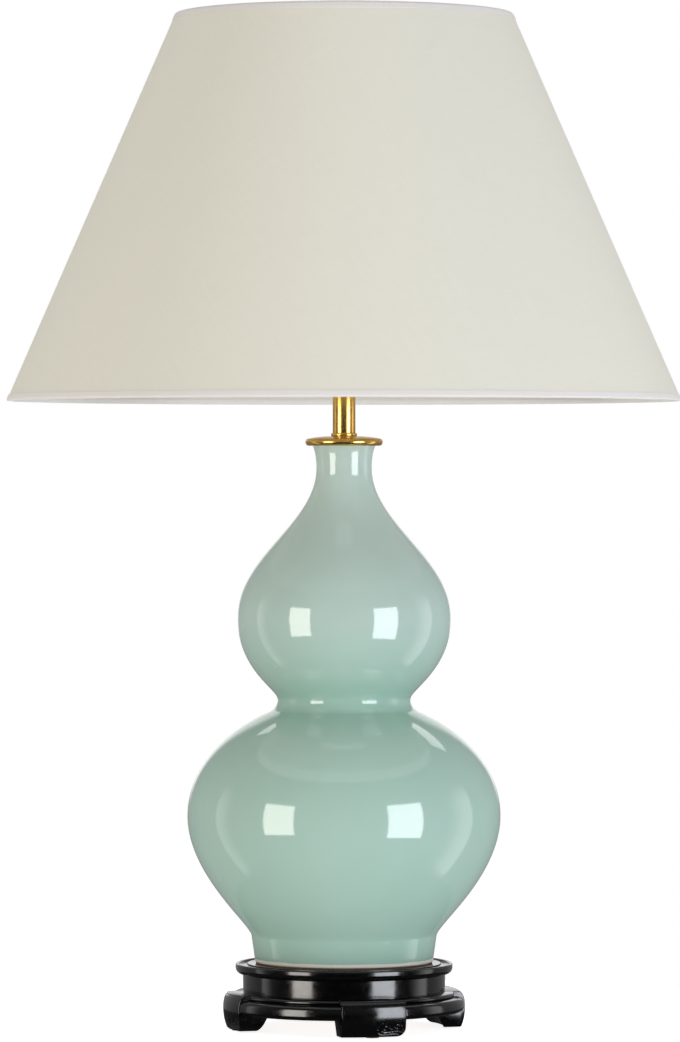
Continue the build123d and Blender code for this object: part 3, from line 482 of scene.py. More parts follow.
# a layer of the shade: a flat grid bent into a cone, with the flat cut as its UV map
def coneLayer():
    tree, given = startTree("coneLayer", [(label, "Float") for label in (
        "Bottom Radius", "Top Radius", "Bottom Height", "Top Height", "Lap Angle", "Lap Lift", "Seam Angle",
        "Wave")] + [("Columns", "Int"), ("Rows", "Int"), ("Finish", "Material")])
    grid = addNode(tree, "GeometryNodeMeshGrid", {
        "Size X": 1.0, "Size Y": 1.0, "Vertices X": given["Columns"], "Vertices Y": given["Rows"]})
    grid = grid.outputs["Mesh"]
    spot = addNode(tree, "ShaderNodeSeparateXYZ", {0: addNode(tree, "GeometryNodeInputPosition").outputs[0]})
    across, up = (calc(tree, "ADD", spot.outputs[k], 0.5) for k in (0, 1))
    swept = calc(tree, "MULTIPLY", across, calc(tree, "ADD", given["Lap Angle"], 2 * pi))
    angle = calc(tree, "ADD", swept, given["Seam Angle"])
    lift = ranged(tree, calc(tree, "SUBTRACT", swept, 2 * pi - 0.02), 0.0, 0.02, 0.0, given["Lap Lift"],
                  interpolation_type="SMOOTHSTEP")
    cone = ranged(tree, up, 0.0, 1.0, given["Bottom Radius"], given["Top Radius"])
    height = ranged(tree, up, 0.0, 1.0, given["Bottom Height"], given["Top Height"])
    east, north = calc(tree, "COSINE", angle), calc(tree, "SINE", angle)
    unit = addNode(tree, "ShaderNodeCombineXYZ", {0: east, 1: north, 2: up}).outputs[0]
    slow = addNode(tree, "ShaderNodeTexNoise", {"Vector": unit, "Scale": 2.2, "Detail": 2.0}).outputs[0]
    wave = ranged(tree, slow, 0.3, 0.7, 0.0, given["Wave"])
    radius = calc(tree, "SUBTRACT", calc(tree, "ADD", cone, lift), wave)
    bent = addNode(tree, "ShaderNodeCombineXYZ", {0: calc(tree, "MULTIPLY", radius, east),
                                                  1: calc(tree, "MULTIPLY", radius, north), 2: height})
    # the flat cut is a sector: its angle is the swept one times the sine of the cone's half angle
    drop = calc(tree, "SUBTRACT", given["Bottom Radius"], given["Top Radius"])
    rise = calc(tree, "SUBTRACT", given["Top Height"], given["Bottom Height"])
    share = calc(tree, "SINE", calc(tree, "ARCTANGENT", calc(tree, "DIVIDE", drop, rise)))
    reach, opened = calc(tree, "DIVIDE", cone, share), calc(tree, "MULTIPLY", swept, share)
    u, v = (calc(tree, "MULTIPLY", reach, calc(tree, turn, opened)) for turn in ("COSINE", "SINE"))
    cut = addNode(tree, "ShaderNodeCombineXYZ", {0: u, 1: v}).outputs[0]
    # the cut is stored before the grid is bent, while its columns still have their flat places
    stored = addNode(tree, "GeometryNodeStoreNamedAttribute",
                     {"Geometry": grid, "Name": "UVMap", "Value": cut}, data_type="FLOAT2", domain="CORNER")
    moved = addNode(tree, "GeometryNodeSetPosition", {"Geometry": stored.outputs[0],
                                                      "Position": bent.outputs[0]})
    return endTree(tree, moved.outputs[0], given["Finish"])


# result of a node tree as a plain mesh
def meshFromTree(tree, values):
    holder = bpy.data.objects.new("holder", bpy.data.meshes.new("holder"))
    scene.collection.objects.link(holder)
    modifier = holder.modifiers.new("tree", "NODES")
    modifier.node_group = tree
    for item in tree.interface.items_tree:
        if item.in_out == "INPUT":
            modifier[item.identifier] = values[item.name]
    holder.update_tag()
    bpy.context.view_layer.update()
    graph = bpy.context.evaluated_depsgraph_get()
    data = bpy.data.meshes.new_from_object(holder.evaluated_get(graph))
    holder.modifiers.remove(modifier)
    bpy.data.objects.remove(holder)
    return data


def copiesOf(name, data, count, firstAngle, finish, body, stands, sharp=40):
    shape = bpy.data.objects.new("shape", data)
    scene.collection.objects.link(shape)
    made = meshFromTree(ringTree, {"Shape": shape, "Count": count, "First Angle": radians(firstAngle),
                                   "Finish": finish})
    bpy.data.objects.remove(shape)
    made.shade_smooth()
    made.set_sharp_from_angle(angle=radians(sharp))
    return addPiece(name, made, finish, body, stands)


ringTree = ringOfCopies()
coneTree = coneLayer()


# ceramic body

gourd = {
    "lipR": 23.7, "neckR": 21.0, "upperR": 80.4, "waistR": 50.1, "lowerR": 117.6,
    "footTopR": 69.5, "footRimR": 66.8,
    "baseZ": 50.0, "footTopZ": 69.1, "lowerZ": 159.2, "waistZ": 247.4, "upperZ": 307.9,
    "neckZ": 421.0, "lipZ": 437.5,
    "lipHold": 0.4, "upperTop": (0.374, 0.427), "upperLow": (0.628, 0.111),
    "lowerTop": (0.525, 0.336), "lowerLow": (0.495, 0.094),
    "waistCurve": 10.3, "waistTurn": 66.2,
    "wall": 6.0, "footW": 9.5, "footRecess": 5.0, "floorT": 7.0, "holeR": 9.0,
    "wobble": 0.35, "wobbleH": 60, "trueH": 40,   # out of true, its height, and how far the ends hold true
    "segments": 288,
}


# side of the body from its lip to its foot, moved in by inset
def gourdSide(inset, steps):
    g = gourd
    neck, upper, waist = g["neckR"] - inset, g["upperR"] - inset, g["waistR"] - inset
    lower, footTop = g["lowerR"] - inset, g["footTopR"] - inset
    upperTopH, lowerTopH = g["neckZ"] - g["upperZ"], g["waistZ"] - g["lowerZ"]
    upperLowH = (g["upperZ"] - g["waistZ"]) * upper / g["upperR"]
    lowerLowH = g["lowerZ"] - g["footTopZ"]
    lipH, share = g["lipZ"] - g["neckZ"], lower / g["lowerR"]
    side = [(g["lipR"] - inset, g["lipZ"])]
    side += curvePoints([side[-1], (neck, g["lipZ"] - lipH * g["lipHold"]), (neck, g["neckZ"])], steps // 4)
    side += curvePoints([side[-1], (neck, g["neckZ"] - upperTopH * g["upperTop"][0]),
                         (upper, g["upperZ"] + upperTopH * g["upperTop"][1] * upper / g["upperR"]),
                         (upper, g["upperZ"])], steps)
    side += curvePoints([side[-1], (upper, g["upperZ"] - upperLowH * g["upperLow"][0]),
                         (waist, g["waistZ"] + upperLowH * g["upperLow"][1]), (waist, g["waistZ"])], steps)
    turnR, turnBy = g["waistCurve"] + inset, radians(g["waistTurn"])
    for n in range(1, steps // 3 + 1):
        a = turnBy * n / (steps // 3)
        side.append((waist + turnR * (1 - cos(a)), g["waistZ"] - turnR * sin(a)))
    start, hold = side[-1], lowerTopH * g["lowerTop"][0] * share
    side += curvePoints([start, (start[0] + sin(turnBy) * hold, start[1] - cos(turnBy) * hold),
                         (lower, g["lowerZ"] + lowerTopH * g["lowerTop"][1] * share),
                         (lower, g["lowerZ"])], steps)
    side += curvePoints([side[-1], (lower, g["lowerZ"] - lowerLowH * g["lowerLow"][0] * share),
                         (footTop, g["footTopZ"] + lowerLowH * g["lowerLow"][1]),
                         (footTop, g["footTopZ"])], steps)
    return side


# hand finished, so it is a few tenths of a millimetre out of true; the foot and lip stay true
def gourdWobble(radius, height, angle):
    g = gourd
    hold = max(0.0, min(1.0, (height - g["footTopZ"]) / g["trueH"],
                         (g["neckZ"] - height) / g["trueH"]))
    slow = noise.noise(Vector((cos(angle), sin(angle), height / g["wobbleH"])) * 0.9)
    return radius + g["wobble"] * hold * slow, height


innerFloor = gourd["baseZ"] + gourd["footRecess"] + gourd["floorT"]
outerSide = gourdSide(0, 44)
footEdge = softened([(gourd["footTopR"], gourd["footTopZ"]), (gourd["footRimR"], gourd["baseZ"], 1.1),
                     (gourd["footRimR"] - gourd["footW"], gourd["baseZ"], 1.1),
                     (gourd["footRimR"] - gourd["footW"] - 0.6, gourd["baseZ"] + gourd["footRecess"], 1.5),
                     (gourd["holeR"], gourd["baseZ"] + gourd["footRecess"], 0.5),
                     (gourd["holeR"], innerFloor, 0.5),
                     (gourd["footRimR"] - gourd["wall"] - 3, innerFloor, 2.0)])[1:]
innerSide = [p for p in gourdSide(gourd["wall"], 14) if p[1] > innerFloor + 3][::-1]
lipEdge = curvePoints([innerSide[-1], (innerSide[-1][0] + 0.2, gourd["lipZ"]), outerSide[0]], 3)[:-1]
gourdOutline = outerSide + footEdge + innerSide[:-1] + lipEdge
gourdBody = turnedPiece("gourdBody", gourdOutline, gourd["segments"], glazeFinish, "base",
                        ["gourd_body"], sharp=50, wobble=gourdWobble)
print("body turned:", len(gourdBody.data.polygons), "faces")


# stand

stand = {
    "rodHole": 5.1, "bore": 66.0, "waistR": 76.0, "rimR": 81.5, "apronR": 90.2, "apronLowR": 88.0,
    "shelfR": 81.5, "beadR": 83.1, "ringIn": 56.0, "rebate": 63.0,
    "apronZ": 13.0, "bellyZ": 18.5, "beadLowZ": 24.1, "waistZ": 27.5, "rimZ": 41.0, "seatZ": 49.0,
    "rimRoundH": 4.4, "rimBead": 1.4, "grooveW": 6.0, "grooveDepth": 1.6, "spigotH": 3.0,
    "plateTopZ": 17.0,
    "inletR": 4.6, "inletZ": 34.25, "inletAngle": 45, "inletLength": 30, "inletOut": 71,
    "segments": 192,
}


# solid with the cutter's shape taken out of it, both plain meshes
def cutOut(data, cutter, sharp=40):
    solid = bpy.data.objects.new("solid", data)
    tool = bpy.data.objects.new("tool", cutter)
    for item in (solid, tool):
        scene.collection.objects.link(item)
    modifier = solid.modifiers.new("cut", "BOOLEAN")
    modifier.object = tool
    modifier.operation = "DIFFERENCE"
    modifier.solver = "EXACT"
    bpy.context.view_layer.update()
    graph = bpy.context.evaluated_depsgraph_get()
    made = bpy.data.meshes.new_from_object(solid.evaluated_get(graph))
    for item in (solid, tool):
        bpy.data.objects.remove(item)
    made.shade_smooth()
    made.set_sharp_from_angle(angle=radians(sharp))
    return made


s = stand
grooveOut = s["rimR"] - 2 * s["rimBead"]
beadZ = s["seatZ"] - s["rimBead"]
rimOutline = softened([(s["rodHole"], s["rimZ"] - s["spigotH"]),
                       (s["bore"] - 0.1, s["rimZ"] - s["spigotH"], 0.5), (s["bore"] - 0.1, s["rimZ"])])
rimOutline += [(s["waistR"], s["rimZ"])]
rimOutline += curvePoints([rimOutline[-1], (s["rimR"] - 0.6, s["rimZ"] + 0.1),
                           (s["rimR"], s["rimZ"] + s["rimRoundH"])], 10)
rimOutline += [(s["rimR"], beadZ)]
rimOutline += [(grooveOut + s["rimBead"] * (1 + cos(pi * n / 12)), beadZ + s["rimBead"] * sin(pi * n / 12))
               for n in range(1, 13)]
rimOutline += softened([(grooveOut, beadZ), (grooveOut, s["seatZ"] - s["grooveDepth"], 0.4),
                        (grooveOut - s["grooveW"], s["seatZ"] - s["grooveDepth"], 0.6),
                        (grooveOut - s["grooveW"], s["seatZ"], 0.5), (s["rodHole"], s["seatZ"])])[1:]
turnedPiece("standTop", rimOutline, s["segments"], lacquerFinish, "base", ["stand_top"])

mesh = bmesh.new()
turned(mesh, softened([(s["bore"], s["waistZ"]), (s["waistR"], s["waistZ"], 0.4), (s["waistR"], s["rimZ"]),
                       (s["bore"], s["rimZ"])]), s["segments"])
waistData = finishMesh(mesh)
mesh = bmesh.new()
bmesh.ops.create_cone(mesh, cap_ends=True, segments=40, radius1=s["inletR"] * mm, radius2=s["inletR"] * mm,
                      depth=s["inletLength"] * mm)
out = Vector((cos(radians(s["inletAngle"])), sin(radians(s["inletAngle"])), 0))
mesh.transform(Matrix.Translation(out * s["inletOut"] * mm + Vector((0, 0, s["inletZ"] * mm)))
               @ out.to_track_quat("Z", "Y").to_matrix().to_4x4())
addPiece("standWaist", cutOut(waistData, finishMesh(mesh)), lacquerFinish, "base",
         ["stand_waist"])

# inner ring of the apron, behind the feet
turnedPiece("apronRing", softened([
    (s["ringIn"], s["plateTopZ"], 0.3), (s["rebate"], s["plateTopZ"]), (s["rebate"], s["apronZ"], 0.4),
    (s["bore"], s["apronZ"]), (s["bore"], s["waistZ"]), (s["ringIn"], s["waistZ"], 0.4)]),
    s["segments"], lacquerFinish, "base", ["stand_apron"])

foot = {
    "width": 49.0, "outR": 91.0, "backR": 66.1, "frontWaistR": 76.1, "shelfR": 81.5,
    "bellyZ": 16.0, "round": 7.0, "fullness": 9.0, "toeIn": 2.8, "crownH": 1.5, "lowZ": 0.8, "cornerR": 7.0,
    "lineZ": 26.3, "lineDepth": 0.45,
    "backLowR": 75.1, "backTopR": 69.1,
    "edge": 0.45,       # softness of the long edges
    "sideGap": 0.1,
    "slices": 180,
    "carveDepth": 0.6, "carveWidth": 0.95,
    "carveX": (1.5, 24.6), "carveZ": (0.9, 13.6),    # where the scroll lies
    "borderIn": 2.0, "borderDepth": 0.12, "borderW": 0.45, "borderTopZ": 21,
    "apronEdge": 0.35,  # softness of the apron panels' ends
}


# one apron panel, between the feet that point along +X and +Y
def apronPanel():
    half, soft = foot["width"] / 2 + foot["sideGap"], foot["apronEdge"]
    beadMid = s["shelfR"] + 0.8
    section = [(s["bore"], s["waistZ"]), (s["shelfR"], s["waistZ"])]
    section += curvePoints([section[-1], (s["beadR"] + 0.6, (s["waistZ"] + s["beadLowZ"]) / 2 + 0.7),
                            (s["beadR"] + 0.4, s["beadLowZ"] + 0.5), (beadMid, s["beadLowZ"])], 9)
    section += curvePoints([section[-1], (s["apronR"] - 1.2, s["beadLowZ"]),
                            (s["apronR"], s["beadLowZ"] - 1.2), (s["apronR"], s["bellyZ"] - 2.5)], 16)
    section += curvePoints([section[-1], (s["apronR"], s["apronZ"] + 1.6),
                            (s["apronLowR"] + 0.8, s["apronZ"] + 0.6)], 8)
    section += curvePoints([section[-1], (s["apronLowR"], s["apronZ"]), (s["apronLowR"] - 1, s["apronZ"])], 4)
    section += [(s["bore"], s["apronZ"])]
    count = len(section)
    normals = []
    for i in range(count):
        a, b = section[max(i - 1, 0)], section[min(i + 1, count - 1)]
        size = hypot(b[0] - a[0], b[1] - a[1])
        normals.append((-(b[1] - a[1]) / size, (b[0] - a[0]) / size))
    stations = []
    for n in range(7):
        d = soft * n / 6
        stations.append((0.0, d, soft - sqrt(max(0.0, soft ** 2 - (soft - d) ** 2))))
    stations += [(n / 60, soft, 0.0) for n in range(1, 60)]
    stations += [(1.0, d, inset) for share, d, inset in reversed(stations[:7])]
    mesh = bmesh.new()
    rows = []
    for share, d, inset in stations:
        row = []
        for (r, z), (nr, nz) in zip(section, normals):
            if r > s["bore"] + 0.1:
                r, z = r - inset * abs(nr), z - inset * nz
            start = asin((half + d) / r)
            angle = start + (pi / 2 - 2 * start) * share
            row.append(addPoint(mesh, r, z, angle))
        rows.append(row)
    return skinned(mesh, rows, 35)


# lines of a plain cloud scroll, carved in the lower right of each foot's face
def scrollLines():
    lines = []
    for centreX, centreZ, size, start in ((8.0, 7.4, 2.9, 3.7), (17.6, 8.3, 3.1, 3.9)):
        line = []
        for n in range(41):
            angle, reach = start + 2.6 * pi * n / 40, size * (1 - 0.02 * n)
            line.append((centreX + reach * cos(angle), centreZ + reach * sin(angle)))
        lines.append(line)
    for handles in (((3.0, 4.2), (7.5, 1.2), (13.0, 5.4), (19.0, 2.6)),
                    ((5.5, 5.6), (10.0, 3.0), (15.0, 7.0), (22.0, 4.4)),
                    ((11.3, 9.6), (12.6, 6.2), (13.6, 6.0), (14.6, 8.6)),
                    ((21.2, 9.8), (22.4, 8.4), (22.8, 7.2), (22.6, 6.2)),
                    ((2.2, 7.0), (2.4, 9.4), (3.6, 11.4), (6.0, 12.0))):
        lines.append([handles[0]] + curvePoints(handles, 16))
    return lines


scrolls = scrollLines()


# depth of the carving at a place on the foot's face: the scroll, and a fine line inside the edges
def carving(x, z):
    f = foot
    toEdge = min(x + f["width"] / 2, z - f["lowZ"])
    border = f["borderDepth"] * max(0.0, 1 - abs(toEdge - f["borderIn"]) / f["borderW"])
    border = border if z < f["borderTopZ"] else 0.0
    if not (f["carveX"][0] < x < f["carveX"][1] and f["carveZ"][0] < z < f["carveZ"][1]):
        return border
    near = min((x - px) ** 2 + (z - pz) ** 2 for line in scrolls for px, pz in line)
    return max(border, f["carveDepth"] * (1 - near / f["carveWidth"] ** 2))


# the foot that points along +X, as slices across its width
def footShape():
    f = foot
    half, low, top = f["width"] / 2, f["lowZ"], s["waistZ"] + f["crownH"]
    side = [(f["frontWaistR"], top), (f["shelfR"] - 0.5, top)]
    side += curvePoints([side[-1], (f["shelfR"] + f["round"], top), (f["outR"], f["bellyZ"] + f["fullness"]),
                         (f["outR"], f["bellyZ"])], 34)
    # a fine line that carries the apron's bead over the shoulder
    side = [(r - f["lineDepth"] * max(0.0, 1 - abs(z - f["lineZ"]) / 0.5), z) for r, z in side]
    side += curvePoints([side[-1], (f["outR"], (f["bellyZ"] + low) / 2), (f["outR"] - f["toeIn"] + 0.3,
                                                                         low + 1.2)], 56)
    side += curvePoints([side[-1], (f["outR"] - f["toeIn"], low), (f["outR"] - f["toeIn"] - 1.4, low)], 5)
    crownR = (half ** 2 + f["crownH"] ** 2) / (2 * f["crownH"])
    mesh = bmesh.new()
    rows = []
    for n in range(f["slices"] + 1):
        t = n / f["slices"]
        # closer slices at both ends, for the soft edges
        x = half * (1.2 * (2 * t - 1) - 0.2 * (2 * t - 1) ** 3)
        d = half - abs(x)
        inset = f["edge"] - sqrt(f["edge"] ** 2 - (f["edge"] - d) ** 2) if d < f["edge"] else 0.0
        crown = top - (crownR - sqrt(crownR ** 2 - x ** 2)) - inset
        corner = x - (half - f["cornerR"])
        floor = low + inset * 0.6
        if corner > 0:
            floor = low + f["cornerR"] - sqrt(max(0.0, f["cornerR"] ** 2 - corner ** 2)) + inset * 0.3
        lean = (s["apronZ"] - max(floor, low)) / (s["apronZ"] - low)
        outline = [(f["backTopR"] + (f["backLowR"] - f["backTopR"]) * lean, floor)]
        face = []
        for r, z in side:
            z = max(floor, min(crown, z))
            r = r - inset if r > f["shelfR"] - 0.6 else r
            if r > f["outR"] - f["toeIn"] - 1 and z < 22:
                r -= carving(x, z)
            face.append((r, z))
        outline += face[::-1]
        outline += [(f["frontWaistR"], s["waistZ"]), (f["backR"], s["waistZ"]), (f["backR"], s["apronZ"]),
                    (f["backTopR"], s["apronZ"])]
        rows.append([mesh.verts.new((sqrt(r * r - x * x) * mm, x * mm, z * mm)) for r, z in outline])
    return skinned(mesh, rows, 42)


copiesOf("apronPanels", apronPanel(), 4, 0, lacquerFinish, "base", ["stand_apron"], 35)
copiesOf("carvedFeet", footShape(), 4, 0, lacquerFinish, "base",
         ["foot_right", "foot_back", "foot_left", "foot_front"], 42)


# a round shape of its own about a point, for what is set round the axis
def turnedAt(outline, segments, centre):
    mesh = bmesh.new()
    turned(mesh, outline, segments)
    mesh.transform(Matrix.Translation(Vector(centre) * mm))
    return finishMesh(mesh)


pads = {"pitch": 81.65, "radius": 5.0, "height": 2.0}
copiesOf("feltPads", turnedAt(softened([
    (0, 0), (pads["radius"], 0, 0.3), (pads["radius"], pads["height"], 0.2), (0, pads["height"])], 3),
    40, (pads["pitch"], 0, 0)), 4, 0, feltFinish, "base",
    ["foot_pad_right", "foot_pad_back", "foot_pad_left", "foot_pad_front"])

screws = {"pitch": 59.5, "headZ": 14.0, "headR": 3.0, "headH": 1.5, "shankR": 1.5, "endZ": 24.0,
          "tipZ": 25.0, "slotR": 1.7, "slot": 0.8, "slotDepth": 1.2}
# the cutter for the cross slot is one closed shape, because the cut fails with two crossing boxes
crossData = bmesh.new()
cornerPoints = []
for quarter in range(4):
    for point in ((screws["slotR"], -screws["slot"] / 2), (screws["slotR"], screws["slot"] / 2),
                  (screws["slot"] / 2, screws["slot"] / 2)):
        cornerPoints.append(Matrix.Rotation(quarter * pi / 2, 2) @ Vector(point))
levels = [[crossData.verts.new(((screws["pitch"] + p.x) * mm, p.y * mm, (screws["headZ"] + rise) * mm))
           for p in cornerPoints] for rise in (-screws["slotDepth"], screws["slotDepth"])]
for n in range(len(cornerPoints)):
    m = (n + 1) % len(cornerPoints)
    crossData.faces.new((levels[0][n], levels[0][m], levels[1][m], levels[1][n]))
for level in levels:
    crossData.faces.new(level)
screwData = turnedAt(softened([(0, screws["headZ"]), (screws["headR"], screws["headZ"], 0.15),
                               (screws["shankR"], screws["headZ"] + screws["headH"]),
                               (screws["shankR"], screws["endZ"]),
                               (0, screws["tipZ"])], 3), 32, (screws["pitch"], 0, 0))
copiesOf("plateScrews", cutOut(screwData, finishMesh(crossData)), 4, 45, zincFinish, "base",
         ["bottom_plate_screws"])

seat = {"inR": 57.3, "outR": 66.2, "lowZ": 49.0, "topZ": 50.0}
turnedPiece("seatRing", softened([(seat["inR"], seat["lowZ"]), (seat["outR"], seat["lowZ"]),
                                  (seat["outR"], seat["topZ"], 0.3), (seat["inR"], seat["topZ"])]),
            144, corkFinish, "base", ["seat_pad"])
print("stand made")

# brass on the neck

fittings = {"hole": 5.1, "capR": 29.25, "capZ": 437.5, "capEdgeH": 5.6, "collarZ": 444.7, "collarR": 9.8,
            "tubeR": 8.6, "tubeZ": 447.1, "tubeTopZ": 490.6,
            "roofR": 19.0, "roofDrop": 0.12, "flatR": 11.0}   # handles of the cap's roof
b = fittings
nose = b["capEdgeH"] / 2
capOutline = [(b["hole"], b["capZ"]), (b["capR"] - nose, b["capZ"])]
capOutline += [(b["capR"] - nose + nose * sin(pi * n / 20), b["capZ"] + nose - nose * cos(pi * n / 20))
               for n in range(1, 21)]
capOutline += curvePoints([capOutline[-1], (b["roofR"], b["collarZ"] - b["roofDrop"]),
                           (b["flatR"], b["collarZ"])], 12)
capOutline += [(b["hole"], b["collarZ"])]
turnedPiece("brassCap", capOutline, 160, brassFinish, "base", ["brass_cap"], sharp=50)
turnedPiece("brassCollar", softened([(b["hole"], b["collarZ"]), (b["collarR"], b["collarZ"], 0.8),
                                     (b["collarR"], b["tubeZ"], 0.9), (b["hole"], b["tubeZ"])], 6), 96,
            brassFinish, "base", ["brass_collar"], sharp=50)
turnedPiece("brassTube", softened([(b["tubeR"] - 1, b["tubeZ"]), (b["tubeR"], b["tubeZ"], 0.15),
                                   (b["tubeR"], b["tubeTopZ"], 0.15), (b["tubeR"] - 1, b["tubeTopZ"])], 3),
            96, brassFinish, "base", ["brass_tube"])
print("brass made")

# shade

shade = {
    "bottomR": 254.0, "topR": 127.0, "bottomZ": 471.01, "topZ": 762.0,
    "skinOut": 0.5,      # of the cover's outer face under the bindings'
    "coverT": 0.6, "backT": 0.5, "glue": 0.1,
    "tapeW": 5.0, "tapeIn": 3.2, "tapeEnd": 6.6, "tapeT": 0.4, "tapeDepth": 4.9,
    "lap": 12.0, "seamAngle": 96.0,
    "wave": 0.25,        # the cloth is not quite true between its wires
    "columns": 289, "rows": 60, "tapeSegments": 360,
}
h = shade
slope = (h["bottomR"] - h["topR"]) / (h["topZ"] - h["bottomZ"])
lowZ, highZ = h["bottomZ"] + h["skinOut"], h["topZ"] - h["skinOut"]


# radius of the cover's outer face
def coneR(z):
    return h["bottomR"] - h["skinOut"] - slope * (z - h["bottomZ"])


def layerOfShade(name, depth, thick, lap, finish, node):
    data = meshFromTree(coneTree, {
        "Bottom Radius": (coneR(lowZ) - depth) * mm, "Top Radius": (coneR(highZ) - depth) * mm,
        "Bottom Height": lowZ * mm, "Top Height": highZ * mm, "Lap Angle": lap / coneR(lowZ),
        "Lap Lift": (thick + 0.05) * mm if lap else 0.0, "Seam Angle": radians(h["seamAngle"]),
        "Wave": h["wave"] * mm, "Columns": h["columns"], "Rows": h["rows"], "Finish": finish})
    if not lap:
        mesh = bmesh.new()
        mesh.from_mesh(data)
        bmesh.ops.remove_doubles(mesh, verts=mesh.verts, dist=1e-6)
        mesh.to_mesh(data)
        mesh.free()
    data.shade_smooth()
    layer = addPiece(name, data, finish, "shade", [node])
    wall = layer.modifiers.new("thickness", "SOLIDIFY")
    wall.thickness = thick * mm
    wall.offset = -1
    return layer


# outline of a tape of this thickness along open points, for turning
def tapeOutline(points, thick):
    sides = ([], [])
    for i, p in enumerate(points):
        a, c = points[max(i - 1, 0)], points[min(i + 1, len(points) - 1)]
        size = hypot(c[0] - a[0], c[1] - a[1])
        nr, nz = -(c[1] - a[1]) / size * thick / 2, (c[0] - a[0]) / size * thick / 2
        sides[0].append((p[0] + nr, p[1] + nz))
        sides[1].append((p[0] - nr, p[1] - nz))
    return sides[0] + sides[1][::-1]


# cloth tape folded over a wire and both layers, drawn a little uneven as it is pulled round by hand
def binding(name, edgeZ, inwards, node):
    far, inner = edgeZ + inwards * h["tapeW"], edgeZ + inwards * h["tapeIn"]
    near = edgeZ + inwards * (h["tapeT"] / 2 + 0.05)
    out, back = h["tapeT"] / 2 + 0.05, -h["tapeDepth"]
    last = edgeZ + inwards * h["tapeEnd"]
    corners = [(coneR(far) + out, far), (coneR(near) + out, near, 2.0), (coneR(near) + back, near, 2.0),
               (coneR(inner) + back, inner, 0.8),
               (coneR(last) - h["coverT"] - h["glue"] - h["backT"] - 0.45, last)]
    points = [corners[0]]
    for i in (1, 2, 3):
        ends, size = [], corners[i][2]
        for other in (corners[i - 1], corners[i + 1]):
            gap = hypot(other[0] - corners[i][0], other[1] - corners[i][1])
            size = min(size, gap / 2)
            ends.append(tuple(corners[i][k] + (other[k] - corners[i][k]) * size / gap for k in (0, 1)))
        points += [ends[0]] + curvePoints([ends[0], corners[i], ends[1]], 6)
    points.append(corners[4])
    outline = tapeOutline(points, h["tapeT"])
    lengths = [0.0]
    for a, c in zip(outline, outline[1:] + outline[:1]):
        lengths.append(lengths[-1] + hypot(a[0] - c[0], a[1] - c[1]))
    mesh = bmesh.new()
    segments = h["tapeSegments"]
    uvLayer = mesh.loops.layers.uv.new("UVMap")
    rings = []
    for r, z in outline:
        ring = []
        for n in range(segments):
            angle = 2 * pi * n / segments
            pull = 0.1 * noise.noise(Vector((cos(angle) * 26, sin(angle) * 26, z / 4)))
            ring.append(addPoint(mesh, r - abs(pull), z, angle))
        rings.append(ring)
    for i, ring in enumerate(rings):
        after = rings[(i + 1) % len(rings)]
        for n in range(segments):
            m = (n + 1) % segments
            face = mesh.faces.new((ring[n], ring[m], after[m], after[n]))
            for loop, (k, j) in zip(face.loops, ((n, i), (n + 1, i), (n + 1, i + 1), (n, i + 1))):
                loop[uvLayer].uv = (k / segments * 2 * pi * outline[0][0] * mm, lengths[j] * mm)
    return addPiece(name, finishMesh(mesh, 60), bindingFinish, "shade", [node])


cover = layerOfShade("shadeCover", 0.0, h["coverT"], h["lap"], coverFinish, "shade_cover")
backing = layerOfShade("shadeBacking", h["coverT"] + h["glue"], h["backT"], 0, backingFinish,
                       "shade_liner")
topTape = binding("shadeTopBinding", h["topZ"], -1, "shade_top_trim")
bottomTape = binding("shadeBottomBinding", h["bottomZ"], 1, "shade_bottom_trim")

# bulb cap with its rolled thread

thread = {"crest": 13.3, "depth": 0.95, "pitch": 3.63, "lowZ": 531.4, "topZ": 554.4, "wall": 0.5,
          "runIn": 0.6, "runOut": 2.4, "lead": 1.6,   # where the thread fades, and the rounding of its end
          "segments": 72, "rows": 92}


def rolledCap():
    t = thread
    mesh = bmesh.new()
    segments, rings = t["segments"], []
    heights = [t["lowZ"] + (t["topZ"] - t["lowZ"]) * n / t["rows"] for n in range(t["rows"] + 1)]
    outer = []
    for z in heights:
        ring = []
        for n in range(segments):
            # the thread runs out at both ends of the cap
            fade = max(0.0, min(1.0, (z - t["lowZ"] - t["runIn"]) / 2, (t["topZ"] - t["runOut"] - z) / 2))
            phase = (z / t["pitch"] - n / segments) % 1
            r = t["crest"] - t["depth"] * (0.5 - 0.5 * cos(2 * pi * phase)) * fade
            if z < t["lowZ"] + 1.0:
                r -= t["lead"] * (1 - (z - t["lowZ"])) ** 2
            ring.append((r, z))
        outer.append(ring)
    inner = [[(r - t["wall"], max(z, t["lowZ"] + t["wall"])) for r, z in ring] for ring in reversed(outer)]
    for ring in outer + inner:
        rings.append([addPoint(mesh, r, z, 2 * pi * n / segments) for n, (r, z) in enumerate(ring)])
    return skinned(mesh, rings, 50)


addPiece("bulbScrewCap", rolledCap(), nickelFinish, "bulb", ["bulb_screw_cap"])

